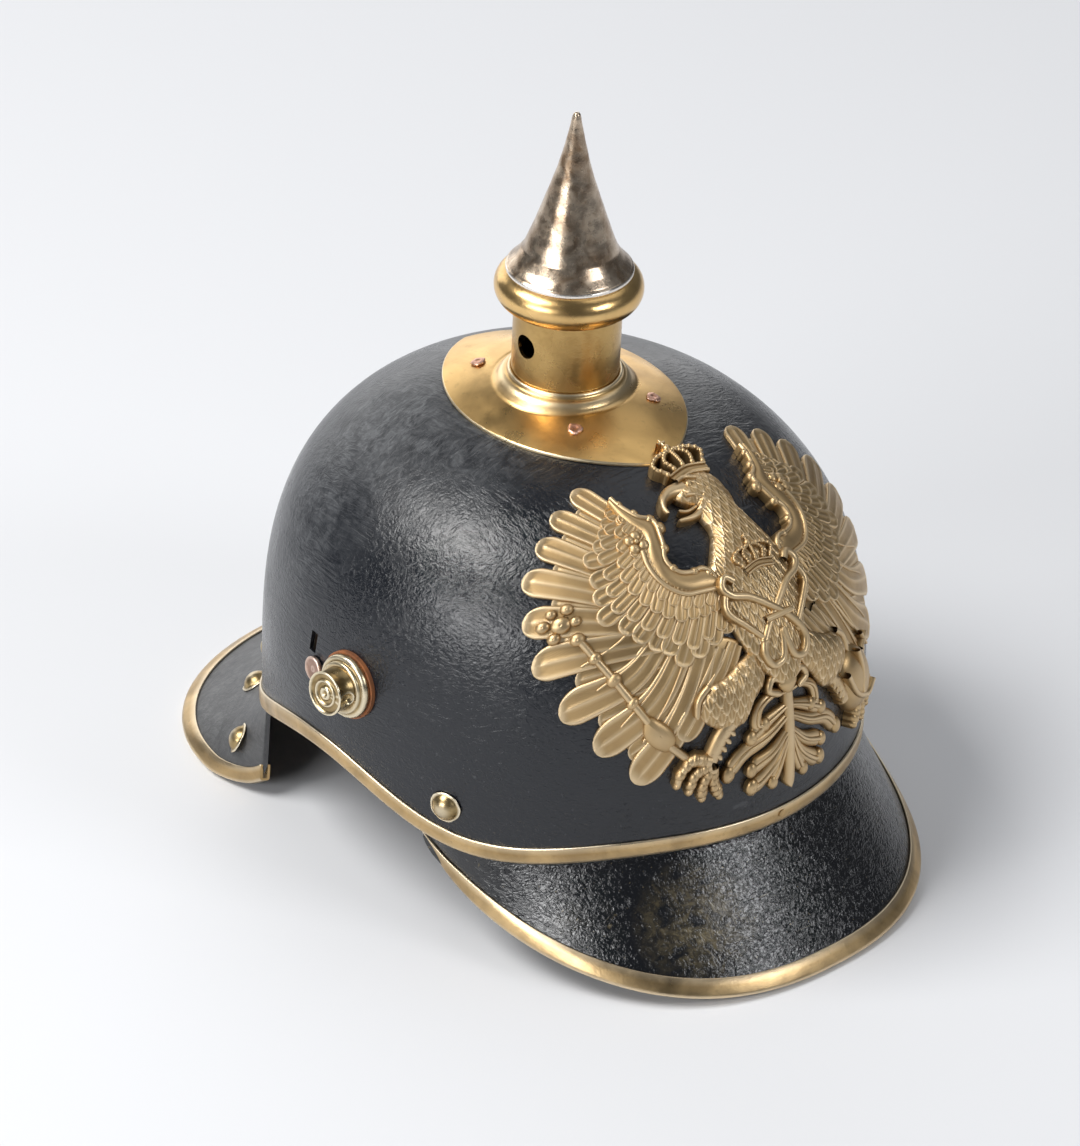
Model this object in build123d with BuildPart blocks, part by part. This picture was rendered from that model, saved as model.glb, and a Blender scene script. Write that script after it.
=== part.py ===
# Spiked helmet of lacquered steel with brass fittings.
# It is modelled upright: the spike's axis is Z, the brow faces -Y, and Z is zero at the skull's
# lower edge at the brow. Turns are degrees round the skull, 0 at the brow, 90 at the wearer's
# left. On export the helmet leans forward and is lifted, so that it stands on the visor's tip
# and the neck guard.

import os
from math import cos, exp, hypot, pi, radians, sin, sqrt, tan

from build123d import *

# Skull: its plan is two half ellipses, its height a rounded power curve.
skull_width = 190.0
skull_front = 111.5
skull_rear = 98.0
dome_height = 105.0
skull_wall = 1.2
dome_rise_power = 3.03
dome_plan_power = 2.68
dome_steps = 9
crown_vent_radius = 11.0

# Lower edge of the skull, seen from the side: stations joined by half cosines.
cheek_place = 60.0
cheek_drop = 8.6
ear_place = 2.0
ear_rise = 4.6
nape_drop = 27.0
edge_steps = 24

# Brass strip round the lower edge.
band_width = 5.0
band_thickness = 0.8
band_lip = 0.9
band_pin_radius = 1.3
band_pin_height = 0.4

# Stance on the table.
stand_tilt = 3.3
table_drop = 47.4
foot_flat = 0.2

# Visor, with a flange riveted inside the skull.
sheet_thickness = 1.5
flange_height = 16.0
flange_gap = 0.15
kink_drop = 1.4
visor_reach = 141.2
visor_half_width = 82.8
visor_middle = 36.5
visor_plan_power = 2.4
visor_corner_drop = 2.4
visor_rim_power = 0.30
visor_end_turn = 69.0
visor_sections = 17

# Neck guard, with the same flange.
guard_reach = 141.6
guard_half_width = 83.3
guard_middle = 70.0
guard_plan_power = 2.1
guard_end_turn = 124.0
guard_corner_turns = 9.0
guard_corner_lift = 6.0
guard_corner_reach = 1.2
guard_sections = 21

# Brass channel folded over both rims.
trim_width = 5.6
trim_thickness = 0.8
trim_clearance = 0.05

# Crown plate: a leaf of two arcs, a low cap with a flared collar.
plate_length = 100.0
plate_width = 70.0
plate_thickness = 1.0
plate_rim_height = 103.6
plate_cap_rise = 7.4
plate_stretch = 1.25
collar_radius = 23.5
collar_top = 113.5
collar_lip = 1.0
collar_hollow_share = 0.45
plate_rivet_front = (16.4, 24.3)
plate_rivet_rear = (14.0, 26.3)

# Spike neck, bead ring, threaded bush and spike.
neck_radius = 17.35
neck_wall = 1.2
neck_seat = 108.4
neck_vent_radius = 4.0
neck_vent_height = 126.3
ring_height = 143.1
ring_radius = 17.8
ring_bead = 6.0
ring_top = 148.9
ring_land = 2.7
fit_gap = 0.05
bush_radius = 10.6
bush_flange = 14.0
bush_depth = 9.0
stem_radius = 5.0
stem_reach = 9.2
stem_socket = 6.0
spike_base_radius = 20.4
spike_seat_gap = 0.3
spike_base_edge = 0.8
spike_height = 54.3
spike_tip_radius = 1.3
spike_flare_share = ((0.85, 0.075), (0.745, 0.13), (0.63, 0.24))
spike_recess = 1.0
spike_recess_share = 0.8
spike_shoulder_radius = 1.95

# Rivets: radius and height of the head, radius of the shank.
dome_head_radius = 4.5
dome_head_height = 3.4
dome_skirt_radius = 5.5
dome_skirt_thickness = 0.4
rivet_shank_radius = 1.4
burr_radius = 3.0
burr_thickness = 0.6
rivet_tail_length = 1.0
rivet_lift = 0.25
burr_gap = 0.21
visor_rivet_turn = 64.0
visor_rivet_height = 5.9
rear_rivet_turn = 143.0
rear_rivet_height = -12.4
guard_rivet_turns = (131.0, 147.0)
guard_rivet_shares = (0.55, 0.25)
plate_rivet_radius = 2.4
plate_rivet_height = 0.6
plate_shank_length = 7.0

# Strap posts and the small studs beside them.
post_turn = 85.0
post_height = 34.3
washer_radius = 11.2
washer_thickness = 0.9
post_flange_radius = 10.5
post_flange_thickness = 2.4
post_flange_round = 0.84
post_step_radius = 8.6
post_step_thickness = 1.2
post_shank_radius = 2.5
post_nut_radius = 5.0
post_nut_thickness = 2.0
drum_radius = 7.3
drum_length = 6.4
drum_rim = 0.9
drum_recess = 0.8
drum_ring_radius = 4.4
drum_ring_width = 0.8
drum_nub_radius = 2.2
slot_width = 3.4
slot_length = 5.0
slot_depth = 1.6
stud_turn = 94.1
stud_height = 31.8
stud_radius = 4.2
stud_thickness = 1.6
stud_rim = 0.7
stud_recess = 0.5
strap_slot_turn = 96.0
strap_slot_height = 38.5
strap_slot_width = 2.6
strap_slot_length = 7.5

# Liner: steel carrier, leather sweatband and tongues.
carrier_low = 26.0
carrier_high = 42.0
carrier_thickness = 1.4
leather_gap = 0.3
sweatband_thickness = 2.0
sweatband_low = 11.0
sweatband_high = 46.0
sweatband_hole = 6.4
tongue_count = 10
tongue_thickness = 1.5
tongue_low = 37.0
tongue_foot_width = 40.0
tongue_tip_width = 14.0
tongue_tip_radius = 34.0

# Eagle plate: a stamping drawn on a plane that faces forward and up, and bent on to the skull.
# Shares are of its half span; rises are over its sheet.
eagle_view_tilt = 45.0
eagle_half_span = 64.8
eagle_gap = 0.3
eagle_sheet = 1.1
cover_rise = 1.2
body_rise = 2.6
chest_rise = 3.9
long_feather_count = 9
long_fan_start = 69.0
long_fan_step = 12.4
long_fan_spread = 0.4
long_reach_share = 0.707
long_growth_share = 0.016
long_root_share = 0.25
long_width_share = 0.114
under_reach_share = 0.86
under_width_share = 0.085
cover_length_share = 0.20
cover_width_share = 0.092
arm_width_share = 0.10
knob_share = 0.03
rod_knob_share = 0.042
orb_core_share = 0.127
cover_count = 13
cover_start = 66.0
cover_end = -74.0
cover_reach_share = 0.54
cover_fall_share = 0.24
beak_width_share = 0.055
jaw_width_share = 0.033
crown_size_share = 0.133
chest_crown_size_share = 0.10
crown_bar_share = 0.18
shank_width_share = 0.08
toe_width_share = 0.052
leaf_width_share = 0.062
orb_radius_share = 0.148
rod_width_share = 0.042
knot_width_share = 0.036
eagle_post_radius = 1.5
eagle_post_turn = 33.0
eagle_post_height = 60.0
eagle_nut_width = 7.0
eagle_nut_thickness = 2.0
eagle_nut_gap = 0.6
eagle_tail_length = 0.5

# One overrun for every cut, and a fine step for slopes.
overrun = 40.0
fine_step = 0.01
half_width = skull_width / 2


# Shape of the skull
def stretch(turn):
    """Length of the skull's half plan over its half width, on the side that the turn faces."""
    return (skull_front if cos(radians(turn)) > 0 else skull_rear) / half_width


def swell(height, lift=0.0):
    """Share of the full plan size that the skull keeps at a height."""
    share = min(max(height / (dome_height + lift), 0.0), 1.0)
    return (1 - share**dome_rise_power) ** (1 / dome_plan_power)


def dome_point(turn, height, lift=0.0):
    """Point of the skull's surface grown outwards by lift."""
    radius = (half_width + lift) * swell(height, lift)
    return Vector(radius * sin(radians(turn)), -radius * stretch(turn) * cos(radians(turn)), height)


def dome_normal(turn, height):
    """Outward direction of the skull's surface, from its neighbouring points."""
    across = dome_point(turn + fine_step, height) - dome_point(turn - fine_step, height)
    upward = dome_point(turn, height + fine_step) - dome_point(turn, height - fine_step)
    return across.cross(upward).normalized()


def dome_seat(turn, height, lift=0.0):
    """Plane facing outwards, lifted off a place on the skull's surface, with its X level."""
    normal = dome_normal(turn, height)
    level = Vector(0, 0, 1).cross(normal)
    return Plane(origin=dome_point(turn, height), x_dir=level, z_dir=normal).offset(lift)


def dome_curve(lift):
    """Points of the meridian in the XZ plane, from the wall's top to the pole."""
    points = []
    for step in range(dome_steps + 1):
        angle = step / dome_steps * pi / 2
        across = (half_width + lift) * cos(angle) ** (2 / dome_plan_power)
        rise = (dome_height + lift) * sin(angle) ** (2 / dome_rise_power)
        points.append((across, rise))
    points[0] = (half_width + lift, 0)
    points[-1] = (0, dome_height + lift)
    return points


def dome_half(inner, outer, low, facing):
    """Half of a shell between two lifts; facing is -1 for the brow half and 1 for the nape half."""
    with BuildPart() as half:
        with BuildSketch(Plane.XZ):
            with BuildLine():
                Spline(*dome_curve(outer), tangents=((0, 1), (-1, 0)))
                Line((0, dome_height + outer), (0, dome_height + inner))
                Spline(*dome_curve(inner), tangents=((0, 1), (-1, 0)))
                Line((half_width + inner, 0), (half_width + inner, low))
                Line((half_width + inner, low), (half_width + outer, low))
                Line((half_width + outer, low), (half_width + outer, 0))
            make_face()
        revolve(axis=Axis.Z, revolution_arc=180 * facing)
    ratio = skull_rear / half_width if facing > 0 else skull_front / half_width
    return scale(half.part, by=(1, ratio, 1), mode=Mode.PRIVATE)


def dome_shell(inner, outer, low):
    """Whole shell between two lifts, from a low level to the pole."""
    with BuildPart() as shell:
        add(dome_half(inner, outer, low, -1))
        add(dome_half(inner, outer, low, 1))
    return shell.part


def dome_core(lift, low):
    """Solid inside the skull's surface grown by lift."""
    halves = []
    for facing in (-1, 1):
        with BuildPart() as half:
            with BuildSketch(Plane.XZ):
                with BuildLine():
                    Spline(*dome_curve(lift), tangents=((0, 1), (-1, 0)))
                    Line((0, dome_height + lift), (0, low))
                    Line((0, low), (half_width + lift, low))
                    Line((half_width + lift, low), (half_width + lift, 0))
                make_face()
            revolve(axis=Axis.Z, revolution_arc=180 * facing)
        ratio = skull_rear / half_width if facing > 0 else skull_front / half_width
        halves.append(scale(half.part, by=(1, ratio, 1), mode=Mode.PRIVATE))
    return halves[0] + halves[1]


# Lower edge of the skull
def edge_height(y):
    """Height of the lower edge at a place along Y: half cosines between the named stations."""
    stations = [
        (-skull_front, 0),
        (-cheek_place, -cheek_drop),
        (ear_place, ear_rise),
        (skull_rear, -nape_drop),
    ]
    y = min(max(y, -skull_front), skull_rear)
    for (start, low), (end, high) in zip(stations, stations[1:]):
        if y <= end:
            return low + (high - low) * (1 - cos(pi * (y - start) / (end - start))) / 2
    return -nape_drop


def below_edge(rise):
    """Everything below the lower edge moved square to itself by rise."""
    front = -skull_front - overrun
    rear = skull_rear + overrun
    points = []
    for step in range(edge_steps + 1):
        y = -skull_front + (skull_front + skull_rear) * step / edge_steps
        slope = (edge_height(y + fine_step) - edge_height(y - fine_step)) / (2 * fine_step)
        length = hypot(1, slope)
        points.append((y - rise * slope / length, edge_height(y) + rise / length))
    with BuildPart() as region:
        with BuildSketch(Plane.YZ):
            with BuildLine():
                Line((front, rise), points[0])
                Spline(*points)
                Line(points[-1], (rear, rise - nape_drop))
                floor = -nape_drop - 2 * overrun
                Polyline((rear, rise - nape_drop), (rear, floor), (front, floor), (front, rise))
            make_face()
        extrude(amount=half_width + overrun, both=True)
    return region.part


wall_low = -nape_drop - overrun / 4
skin = dome_core(0, wall_low)


def both_sides(turn):
    """The same turn on the wearer's right and left."""
    return (-turn, turn)


# Face of the crown plate
plate_cap_radius = (plate_width**2 / 4 + plate_cap_rise**2) / (2 * plate_cap_rise)


def plate_top(x, y):
    """Height of the crown plate's upper face: a sphere drawn out along Y."""
    drop = plate_cap_radius - sqrt(plate_cap_radius**2 - x**2 - (y / plate_stretch) ** 2)
    return plate_rim_height + plate_cap_rise - drop


def plate_seat(x, y):
    """Plane on the crown plate's upper face."""
    along_x = Vector(2 * fine_step, 0, plate_top(x + fine_step, y) - plate_top(x - fine_step, y))
    along_y = Vector(0, 2 * fine_step, plate_top(x, y + fine_step) - plate_top(x, y - fine_step))
    return Plane(origin=(x, y, plate_top(x, y)), x_dir=along_x, z_dir=along_x.cross(along_y))


plate_places = []
for side in (-1, 1):
    plate_places.append(plate_seat(side * plate_rivet_front[0], -plate_rivet_front[1]))
    plate_places.append(plate_seat(side * plate_rivet_rear[0], plate_rivet_rear[1]))

# Skull: one bowl with its vent, the slots beside the posts and every rivet's hole.
with BuildPart() as skull:
    add(dome_shell(-skull_wall, 0, wall_low))
    add(below_edge(0), mode=Mode.SUBTRACT)
    with Locations((0, 0, dome_height)):
        Cylinder(crown_vent_radius, overrun, mode=Mode.SUBTRACT)
    for turn in both_sides(visor_rivet_turn):
        with Locations(dome_seat(turn, visor_rivet_height).location):
            Cylinder(rivet_shank_radius + fit_gap, overrun / 4, mode=Mode.SUBTRACT)
    for turn in both_sides(rear_rivet_turn):
        with Locations(dome_seat(turn, rear_rivet_height).location):
            Cylinder(rivet_shank_radius + fit_gap, overrun / 4, mode=Mode.SUBTRACT)
    for turn in both_sides(stud_turn):
        with Locations(dome_seat(turn, stud_height).location):
            Cylinder(rivet_shank_radius + fit_gap, overrun / 4, mode=Mode.SUBTRACT)
    for turn in both_sides(post_turn):
        with Locations(dome_seat(turn, post_height).location):
            Cylinder(post_shank_radius + fit_gap, overrun / 4, mode=Mode.SUBTRACT)
    for turn in both_sides(strap_slot_turn):
        with Locations(dome_seat(turn, strap_slot_height).location):
            Box(strap_slot_width, strap_slot_length, overrun / 4, mode=Mode.SUBTRACT)
    for turn in both_sides(eagle_post_turn):
        with Locations(dome_seat(turn, eagle_post_height).location):
            Cylinder(eagle_post_radius + fit_gap, overrun / 4, mode=Mode.SUBTRACT)
    for place in plate_places:
        with Locations(place.location):
            Cylinder(rivet_shank_radius + fit_gap, overrun / 2, mode=Mode.SUBTRACT)
    with Locations(dome_seat(0, band_width / 2).location):
        Cylinder(band_pin_radius + fit_gap, overrun / 4, mode=Mode.SUBTRACT)

# Edge band: a brass strip on the outside with a lip turned under the edge.
with BuildPart() as edge_band:
    add(dome_shell(-skull_wall, band_thickness, wall_low))
    add(below_edge(band_width), mode=Mode.INTERSECT)
    add(below_edge(-band_lip), mode=Mode.SUBTRACT)
    add(dome_shell(-skull_wall - overrun / 4, 0, wall_low) - below_edge(0), mode=Mode.SUBTRACT)
    with Locations(dome_seat(0, band_width / 2).location):
        Cylinder(band_pin_radius + fit_gap, overrun / 4, mode=Mode.SUBTRACT)

# Band pin: the flush pin that closes the strip at the brow.
with BuildPart() as band_pin:
    with BuildSketch(dome_seat(0, band_width / 2, -skull_wall)):
        Circle(band_pin_radius)
    extrude(amount=skull_wall + band_thickness + band_pin_height)


# Sheets that leave the skull's inner wall under the lower edge
def inner_wall(turn, drop=0.0):
    """Place on the skull's inner wall at the height of the lower edge, less a drop."""
    spot = dome_point(turn, 0, -skull_wall - flange_gap)
    return Vector(spot.X, spot.Y, edge_height(spot.Y) - drop)


def outward(turn):
    """Level direction square to the skull's wall."""
    normal = dome_normal(turn, -fine_step * 2)
    return Vector(normal.X, normal.Y, 0).normalized()


def rim_reach(turn, half, middle, reach, power):
    """Distance from the inner wall to the rim's plan, found by halving; the plan is a power oval."""
    start = inner_wall(turn)
    way = outward(turn)
    near, far = -overrun, 3 * overrun
    for _ in range(40):
        mid = (near + far) / 2
        x = abs(start.X + mid * way.X) / half
        y = abs(abs(start.Y + mid * way.Y) - middle) / (reach - middle)
        if x**power + y**power < 1:
            near = mid
        else:
            far = mid
    return near


def table_height(y):
    """Height of the table's surface under a place along Y, in the upright helmet's own frame."""
    return -table_drop - y * tan(radians(stand_tilt))


def visor_rim(turn):
    """Reach and height of the visor's rim for a section."""
    reach = rim_reach(turn, visor_half_width, visor_middle, visor_reach, visor_plan_power)
    y = -(inner_wall(turn).Y + reach * outward(turn).Y)
    share = max((y - visor_middle) / (visor_reach - visor_middle), 0.0) ** visor_rim_power
    front = table_height(-visor_reach)
    return reach, -visor_corner_drop + (front + visor_corner_drop) * share


def guard_rim(turn):
    """Reach and height of the neck guard's rim, with its rounded front corners."""
    full = rim_reach(turn, guard_half_width, guard_middle, guard_reach, guard_plan_power)
    ease = min((abs(turn) - guard_end_turn) / guard_corner_turns, 1.0)
    round_share = sqrt(max(1 - (1 - ease) ** 2, 0.0))
    reach = guard_corner_reach + (full - guard_corner_reach) * round_share
    y = inner_wall(turn).Y + reach * outward(turn).Y
    return reach, table_height(y) + guard_corner_lift * exp(-3 * ease)


def visor_turns():
    """Turns of the visor's sections, closer together towards its corners."""
    last = visor_sections - 1
    return [visor_end_turn * sin(pi * (2 * k / last - 1) / 2) for k in range(visor_sections)]


def guard_turns():
    """Turns of the guard's sections, from the wearer's left round the nape, closer at the corners."""
    last = guard_sections - 1
    span = 180 - guard_end_turn
    return [180 - span * sin(pi * (1 - 2 * k / last) / 2) for k in range(guard_sections)]


def fold(turn):
    """A turn past the nape, given as its mirror on the wearer's right."""
    return turn if turn <= 180 else turn - 360


def section_plane(turn):
    """Upright plane through the inner wall: X runs outwards, Y runs up."""
    foot = inner_wall(turn)
    way = outward(turn)
    return Plane(origin=(foot.X, foot.Y, 0), x_dir=way, z_dir=way.cross(Vector(0, 0, 1)))


def sheet_outline(turn, rim):
    """Section of a sheet with its flange: corners from the flange's top out to the rim and back."""
    reach, low = rim(turn)
    kink = inner_wall(turn, kink_drop).Z
    run, fall = reach, kink - low
    length = hypot(run, fall)
    square = Vector(fall / length, run / length)
    mitre = sheet_thickness * (1 - square.X) / max(abs(square.Y), fine_step)
    top = kink + flange_height
    tip = Vector(reach, low)
    back = tip - square * sheet_thickness
    return [
        (0, top),
        (0, kink),
        (tip.X, tip.Y),
        (back.X, back.Y),
        (-sheet_thickness, kink - mitre * (1 if square.Y > 0 else -1)),
        (-sheet_thickness, top),
    ]


def trim_outline(turn, rim):
    """Section of the brass channel round a sheet's rim: eight corners of a U."""
    reach, low = rim(turn)
    kink = inner_wall(turn, kink_drop).Z
    length = hypot(reach, kink - low)
    along = Vector(reach / length, (low - kink) / length)
    square = Vector((kink - low) / length, reach / length)
    tip = Vector(reach, low)
    width = min(trim_width, length - trim_thickness)
    outer = trim_clearance + trim_thickness
    inner = trim_clearance
    rows = [
        (-width, outer),
        (outer, outer),
        (outer, -sheet_thickness - outer),
        (-width, -sheet_thickness - outer),
        (-width, -sheet_thickness - inner),
        (inner, -sheet_thickness - inner),
        (inner, inner),
        (-width, inner),
    ]
    corners = []
    for run, rise in rows:
        corner = tip + along * run + square * rise
        corners.append((corner.X, corner.Y))
    return corners


# Visor: a pressed peak whose flange stands up inside the skull.
with BuildPart() as visor:
    for turn in visor_turns():
        with BuildSketch(section_plane(turn)):
            with BuildLine():
                Polyline(*sheet_outline(turn, visor_rim), close=True)
            make_face()
    loft()
    for turn in both_sides(visor_rivet_turn):
        with Locations(dome_seat(turn, visor_rivet_height).location):
            Cylinder(rivet_shank_radius + fit_gap, overrun / 4, mode=Mode.SUBTRACT)

# Visor trim: the brass channel folded over the peak's rim.
with BuildPart() as visor_trim:
    for turn in visor_turns():
        with BuildSketch(section_plane(turn)):
            with BuildLine():
                Polyline(*trim_outline(turn, visor_rim), close=True)
            make_face()
    loft()
    add(visor.part, mode=Mode.SUBTRACT)


def guard_point(turn, share):
    """Place on the neck guard's upper face, a share of the way down its slope."""
    reach, low = guard_rim(turn)
    foot = inner_wall(turn, kink_drop)
    return foot + outward(turn) * (reach * share) + Vector(0, 0, (low - foot.Z) * share)


def guard_seat(turn, share):
    """Plane on the neck guard's upper face."""
    around = guard_point(turn + fine_step, share) - guard_point(turn - fine_step, share)
    down = guard_point(turn, share + fine_step) - guard_point(turn, share - fine_step)
    return Plane(origin=guard_point(turn, share), x_dir=around, z_dir=down.cross(around))


# Neck guard: a flared plate behind, with its flange inside the skull.
with BuildPart() as neck_guard:
    for turn in guard_turns():
        with BuildSketch(section_plane(fold(turn))):
            with BuildLine():
                Polyline(*sheet_outline(fold(turn), guard_rim), close=True)
            make_face()
    loft()
    for turn in both_sides(rear_rivet_turn):
        with Locations(dome_seat(turn, rear_rivet_height).location):
            Cylinder(rivet_shank_radius + fit_gap, overrun / 4, mode=Mode.SUBTRACT)
    for turn, share in zip(guard_rivet_turns, guard_rivet_shares):
        for side_turn in both_sides(turn):
            with Locations(guard_seat(side_turn, share).location):
                Cylinder(rivet_shank_radius + fit_gap, overrun / 4, mode=Mode.SUBTRACT)

# Neck guard trim: the brass channel folded over the guard's rim.
with BuildPart() as neck_guard_trim:
    for turn in guard_turns():
        with BuildSketch(section_plane(fold(turn))):
            with BuildLine():
                Polyline(*trim_outline(fold(turn), guard_rim), close=True)
            make_face()
    loft()
    add(neck_guard.part, mode=Mode.SUBTRACT)


# Rivets
def rivet(grip):
    """Dome rivet on the XY plane: thin skirt, round head, shank through a grip and a spread tail."""
    with BuildPart() as one:
        with BuildSketch(Plane.XZ):
            with BuildLine():
                Line((0, dome_head_height), (0, -grip - rivet_tail_length))
                Line((0, -grip - rivet_tail_length), (rivet_shank_radius, -grip - rivet_tail_length))
                Line((rivet_shank_radius, -grip - rivet_tail_length), (rivet_shank_radius, 0))
                Line((rivet_shank_radius, 0), (dome_skirt_radius, 0))
                Line((dome_skirt_radius, 0), (dome_skirt_radius, dome_skirt_thickness))
                Line((dome_skirt_radius, dome_skirt_thickness), (dome_head_radius, dome_skirt_thickness))
                RadiusArc(
                    (dome_head_radius, dome_skirt_thickness),
                    (0, dome_head_height),
                    -(dome_head_radius**2 + (dome_head_height - dome_skirt_thickness) ** 2)
                    / (2 * (dome_head_height - dome_skirt_thickness)),
                )
            make_face()
        revolve(axis=Axis.Z)
    return one.part


def burr(depth):
    """Washer under a rivet's tail, a depth behind the XY plane."""
    with BuildPart() as one:
        with BuildSketch(Plane.XY.offset(-depth)):
            Circle(burr_radius)
            Circle(rivet_shank_radius + fit_gap, mode=Mode.SUBTRACT)
        extrude(amount=-burr_thickness)
    return one.part


skull_grip = skull_wall + flange_gap + sheet_thickness + rivet_lift + burr_gap
with BuildPart() as visor_rivets:
    for turn in both_sides(visor_rivet_turn):
        with Locations(dome_seat(turn, visor_rivet_height, rivet_lift).location):
            add(rivet(skull_grip))

with BuildPart() as visor_burrs:
    for turn in both_sides(visor_rivet_turn):
        with Locations(dome_seat(turn, visor_rivet_height, rivet_lift).location):
            add(burr(skull_grip))

with BuildPart() as rear_rivets:
    for turn in both_sides(rear_rivet_turn):
        with Locations(dome_seat(turn, rear_rivet_height, rivet_lift).location):
            add(rivet(skull_grip))

with BuildPart() as rear_burrs:
    for turn in both_sides(rear_rivet_turn):
        with Locations(dome_seat(turn, rear_rivet_height, rivet_lift).location):
            add(burr(skull_grip))

guard_places = []
for turn, share in zip(guard_rivet_turns, guard_rivet_shares):
    for side_turn in both_sides(turn):
        guard_places.append(guard_seat(side_turn, share).offset(rivet_lift).location)

with BuildPart() as guard_rivets:
    with Locations(*guard_places):
        add(rivet(sheet_thickness + 2 * rivet_lift))

with BuildPart() as guard_burrs:
    with Locations(*guard_places):
        add(burr(sheet_thickness + 2 * rivet_lift))


# Crown plate
def cap_ball(drop):
    """The drawn-out sphere of the crown plate's face, lowered by drop."""
    with BuildPart() as ball:
        Sphere(plate_cap_radius)
    drawn = scale(ball.part, by=(1, plate_stretch, 1), mode=Mode.PRIVATE)
    return drawn.moved(Location((0, 0, plate_rim_height + plate_cap_rise - plate_cap_radius - drop)))


def leaf_prism(grow):
    """Upright prism on the crown plate's leaf outline, grown sideways."""
    tip = plate_length / 2 + 2 * grow
    belly = plate_width / 2 + grow
    with BuildPart() as prism:
        with BuildSketch(Plane.XY.offset(dome_height - overrun / 4)):
            with BuildLine():
                ThreePointArc((0, -tip), (belly, 0), (0, tip))
                ThreePointArc((0, tip), (-belly, 0), (0, -tip))
            make_face()
        extrude(amount=overrun / 2)
    return prism.part


with BuildPart() as crown_plate:
    add(leaf_prism(0))
    add(cap_ball(0), mode=Mode.INTERSECT)
    add(cap_ball(plate_thickness), mode=Mode.SUBTRACT)
    add(skin, mode=Mode.SUBTRACT)
    with BuildSketch(Plane.XZ):
        with BuildLine():
            foot = plate_top(collar_radius, 0)
            inside = neck_radius + fit_gap
            Polyline(
                (collar_radius, foot),
                (collar_radius, foot - plate_thickness),
                (inside, foot - plate_thickness),
                (inside, collar_top),
                (inside + collar_lip, collar_top),
            )
            ThreePointArc(
                (inside + collar_lip, collar_top),
                (inside + (collar_radius - inside) * collar_hollow_share, (foot + collar_top) / 2),
                (collar_radius, foot),
            )
        make_face()
    revolve(axis=Axis.Z)
    with Locations((0, 0, dome_height)):
        Cylinder(neck_radius + fit_gap, overrun, mode=Mode.SUBTRACT)
    for place in plate_places:
        with Locations(place.location):
            Cylinder(rivet_shank_radius + fit_gap, overrun / 2, mode=Mode.SUBTRACT)

# Copper rivets of the crown plate, with low heads and long shanks down through the skull.
with BuildPart() as plate_rivets:
    for place in plate_places:
        with BuildSketch(place.offset(rivet_lift)):
            Circle(plate_rivet_radius)
        extrude(amount=plate_rivet_height)
        with BuildSketch(place.offset(rivet_lift)):
            Circle(rivet_shank_radius)
        extrude(amount=-plate_shank_length)

# Spike neck: a brass tube with a round vent on each side.
neck_top = ring_top - ring_land
with BuildPart() as spike_neck:
    with BuildSketch(Plane.XY.offset(neck_seat)):
        Circle(neck_radius)
        Circle(neck_radius - neck_wall, mode=Mode.SUBTRACT)
    extrude(amount=neck_top - neck_seat)
    with Locations(Location((0, 0, neck_vent_height), (0, 90, 0))):
        Cylinder(neck_vent_radius, 2 * overrun, mode=Mode.SUBTRACT)

# Bead ring: a round ring on the neck with a flat land that carries the bush.
with BuildPart() as bead_ring:
    with BuildSketch(Plane.XZ):
        with Locations((ring_radius, ring_height)):
            Circle(ring_bead)
        with Locations(((bush_radius + ring_radius) / 2, neck_top + ring_land / 2)):
            Rectangle(ring_radius - bush_radius, ring_land)
        with Locations((0, neck_top - overrun / 2)):
            Rectangle(2 * (neck_radius + fit_gap), overrun, mode=Mode.SUBTRACT)
        with Locations((0, ring_top + overrun / 2)):
            Rectangle(4 * overrun, overrun, mode=Mode.SUBTRACT)
        with Locations((0, neck_top)):
            Rectangle(2 * bush_radius, overrun, mode=Mode.SUBTRACT)
    revolve(axis=Axis.Z)

# Neck bush: the threaded insert that the spike screws into.
with BuildPart() as neck_bush:
    with BuildSketch(Plane.XZ):
        with BuildLine():
            Polyline(
                (stem_radius + fit_gap, ring_top),
                (bush_radius - fit_gap, ring_top),
                (bush_radius - fit_gap, neck_top),
                (bush_flange, neck_top),
                (bush_flange, neck_top - ring_land),
                (bush_radius, neck_top - ring_land),
                (bush_radius, ring_top - bush_depth),
                (stem_radius + fit_gap, ring_top - bush_depth),
                close=True,
            )
        make_face()
    revolve(axis=Axis.Z)

# Spike: a spun steel cone with a flared foot and a blunt tip, bored below for its stem.
spike_low = ring_top + spike_seat_gap
with BuildPart() as spike:
    flare = [
        (share * spike_base_radius, spike_low + rise * spike_height)
        for share, rise in spike_flare_share
    ]
    shoulder = spike_low + spike_height - 2 * spike_tip_radius
    with BuildSketch(Plane.XZ):
        with BuildLine():
            Spline((spike_base_radius, spike_low + spike_base_edge), *flare)
            Line(flare[-1], (spike_shoulder_radius, shoulder))
            rise = Vector(spike_shoulder_radius - flare[-1][0], shoulder - flare[-1][1])
            Spline(
                (spike_shoulder_radius, shoulder),
                (0, spike_low + spike_height),
                tangents=(rise, (-1, 0)),
            )
            Polyline(
                (0, spike_low + spike_height),
                (0, spike_low + stem_socket),
                (stem_radius + fit_gap, spike_low + stem_socket),
                (stem_radius + fit_gap, spike_low + spike_recess),
                (spike_base_radius * spike_recess_share, spike_low + spike_recess),
                (spike_base_radius * spike_recess_share, spike_low),
                (spike_base_radius, spike_low),
                (spike_base_radius, spike_low + spike_base_edge),
            )
        make_face()
    revolve(axis=Axis.Z)

# Spike stem: the threaded stem that is fixed in the cone and turns in the bush.
with BuildPart() as spike_stem:
    with BuildSketch(Plane.XY.offset(ring_top - stem_reach)):
        Circle(stem_radius)
    extrude(amount=stem_reach + spike_seat_gap + stem_socket - fit_gap)
    chamfer(spike_stem.edges().filter_by(GeomType.CIRCLE).sort_by(Axis.Z)[0], skull_wall)


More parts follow.
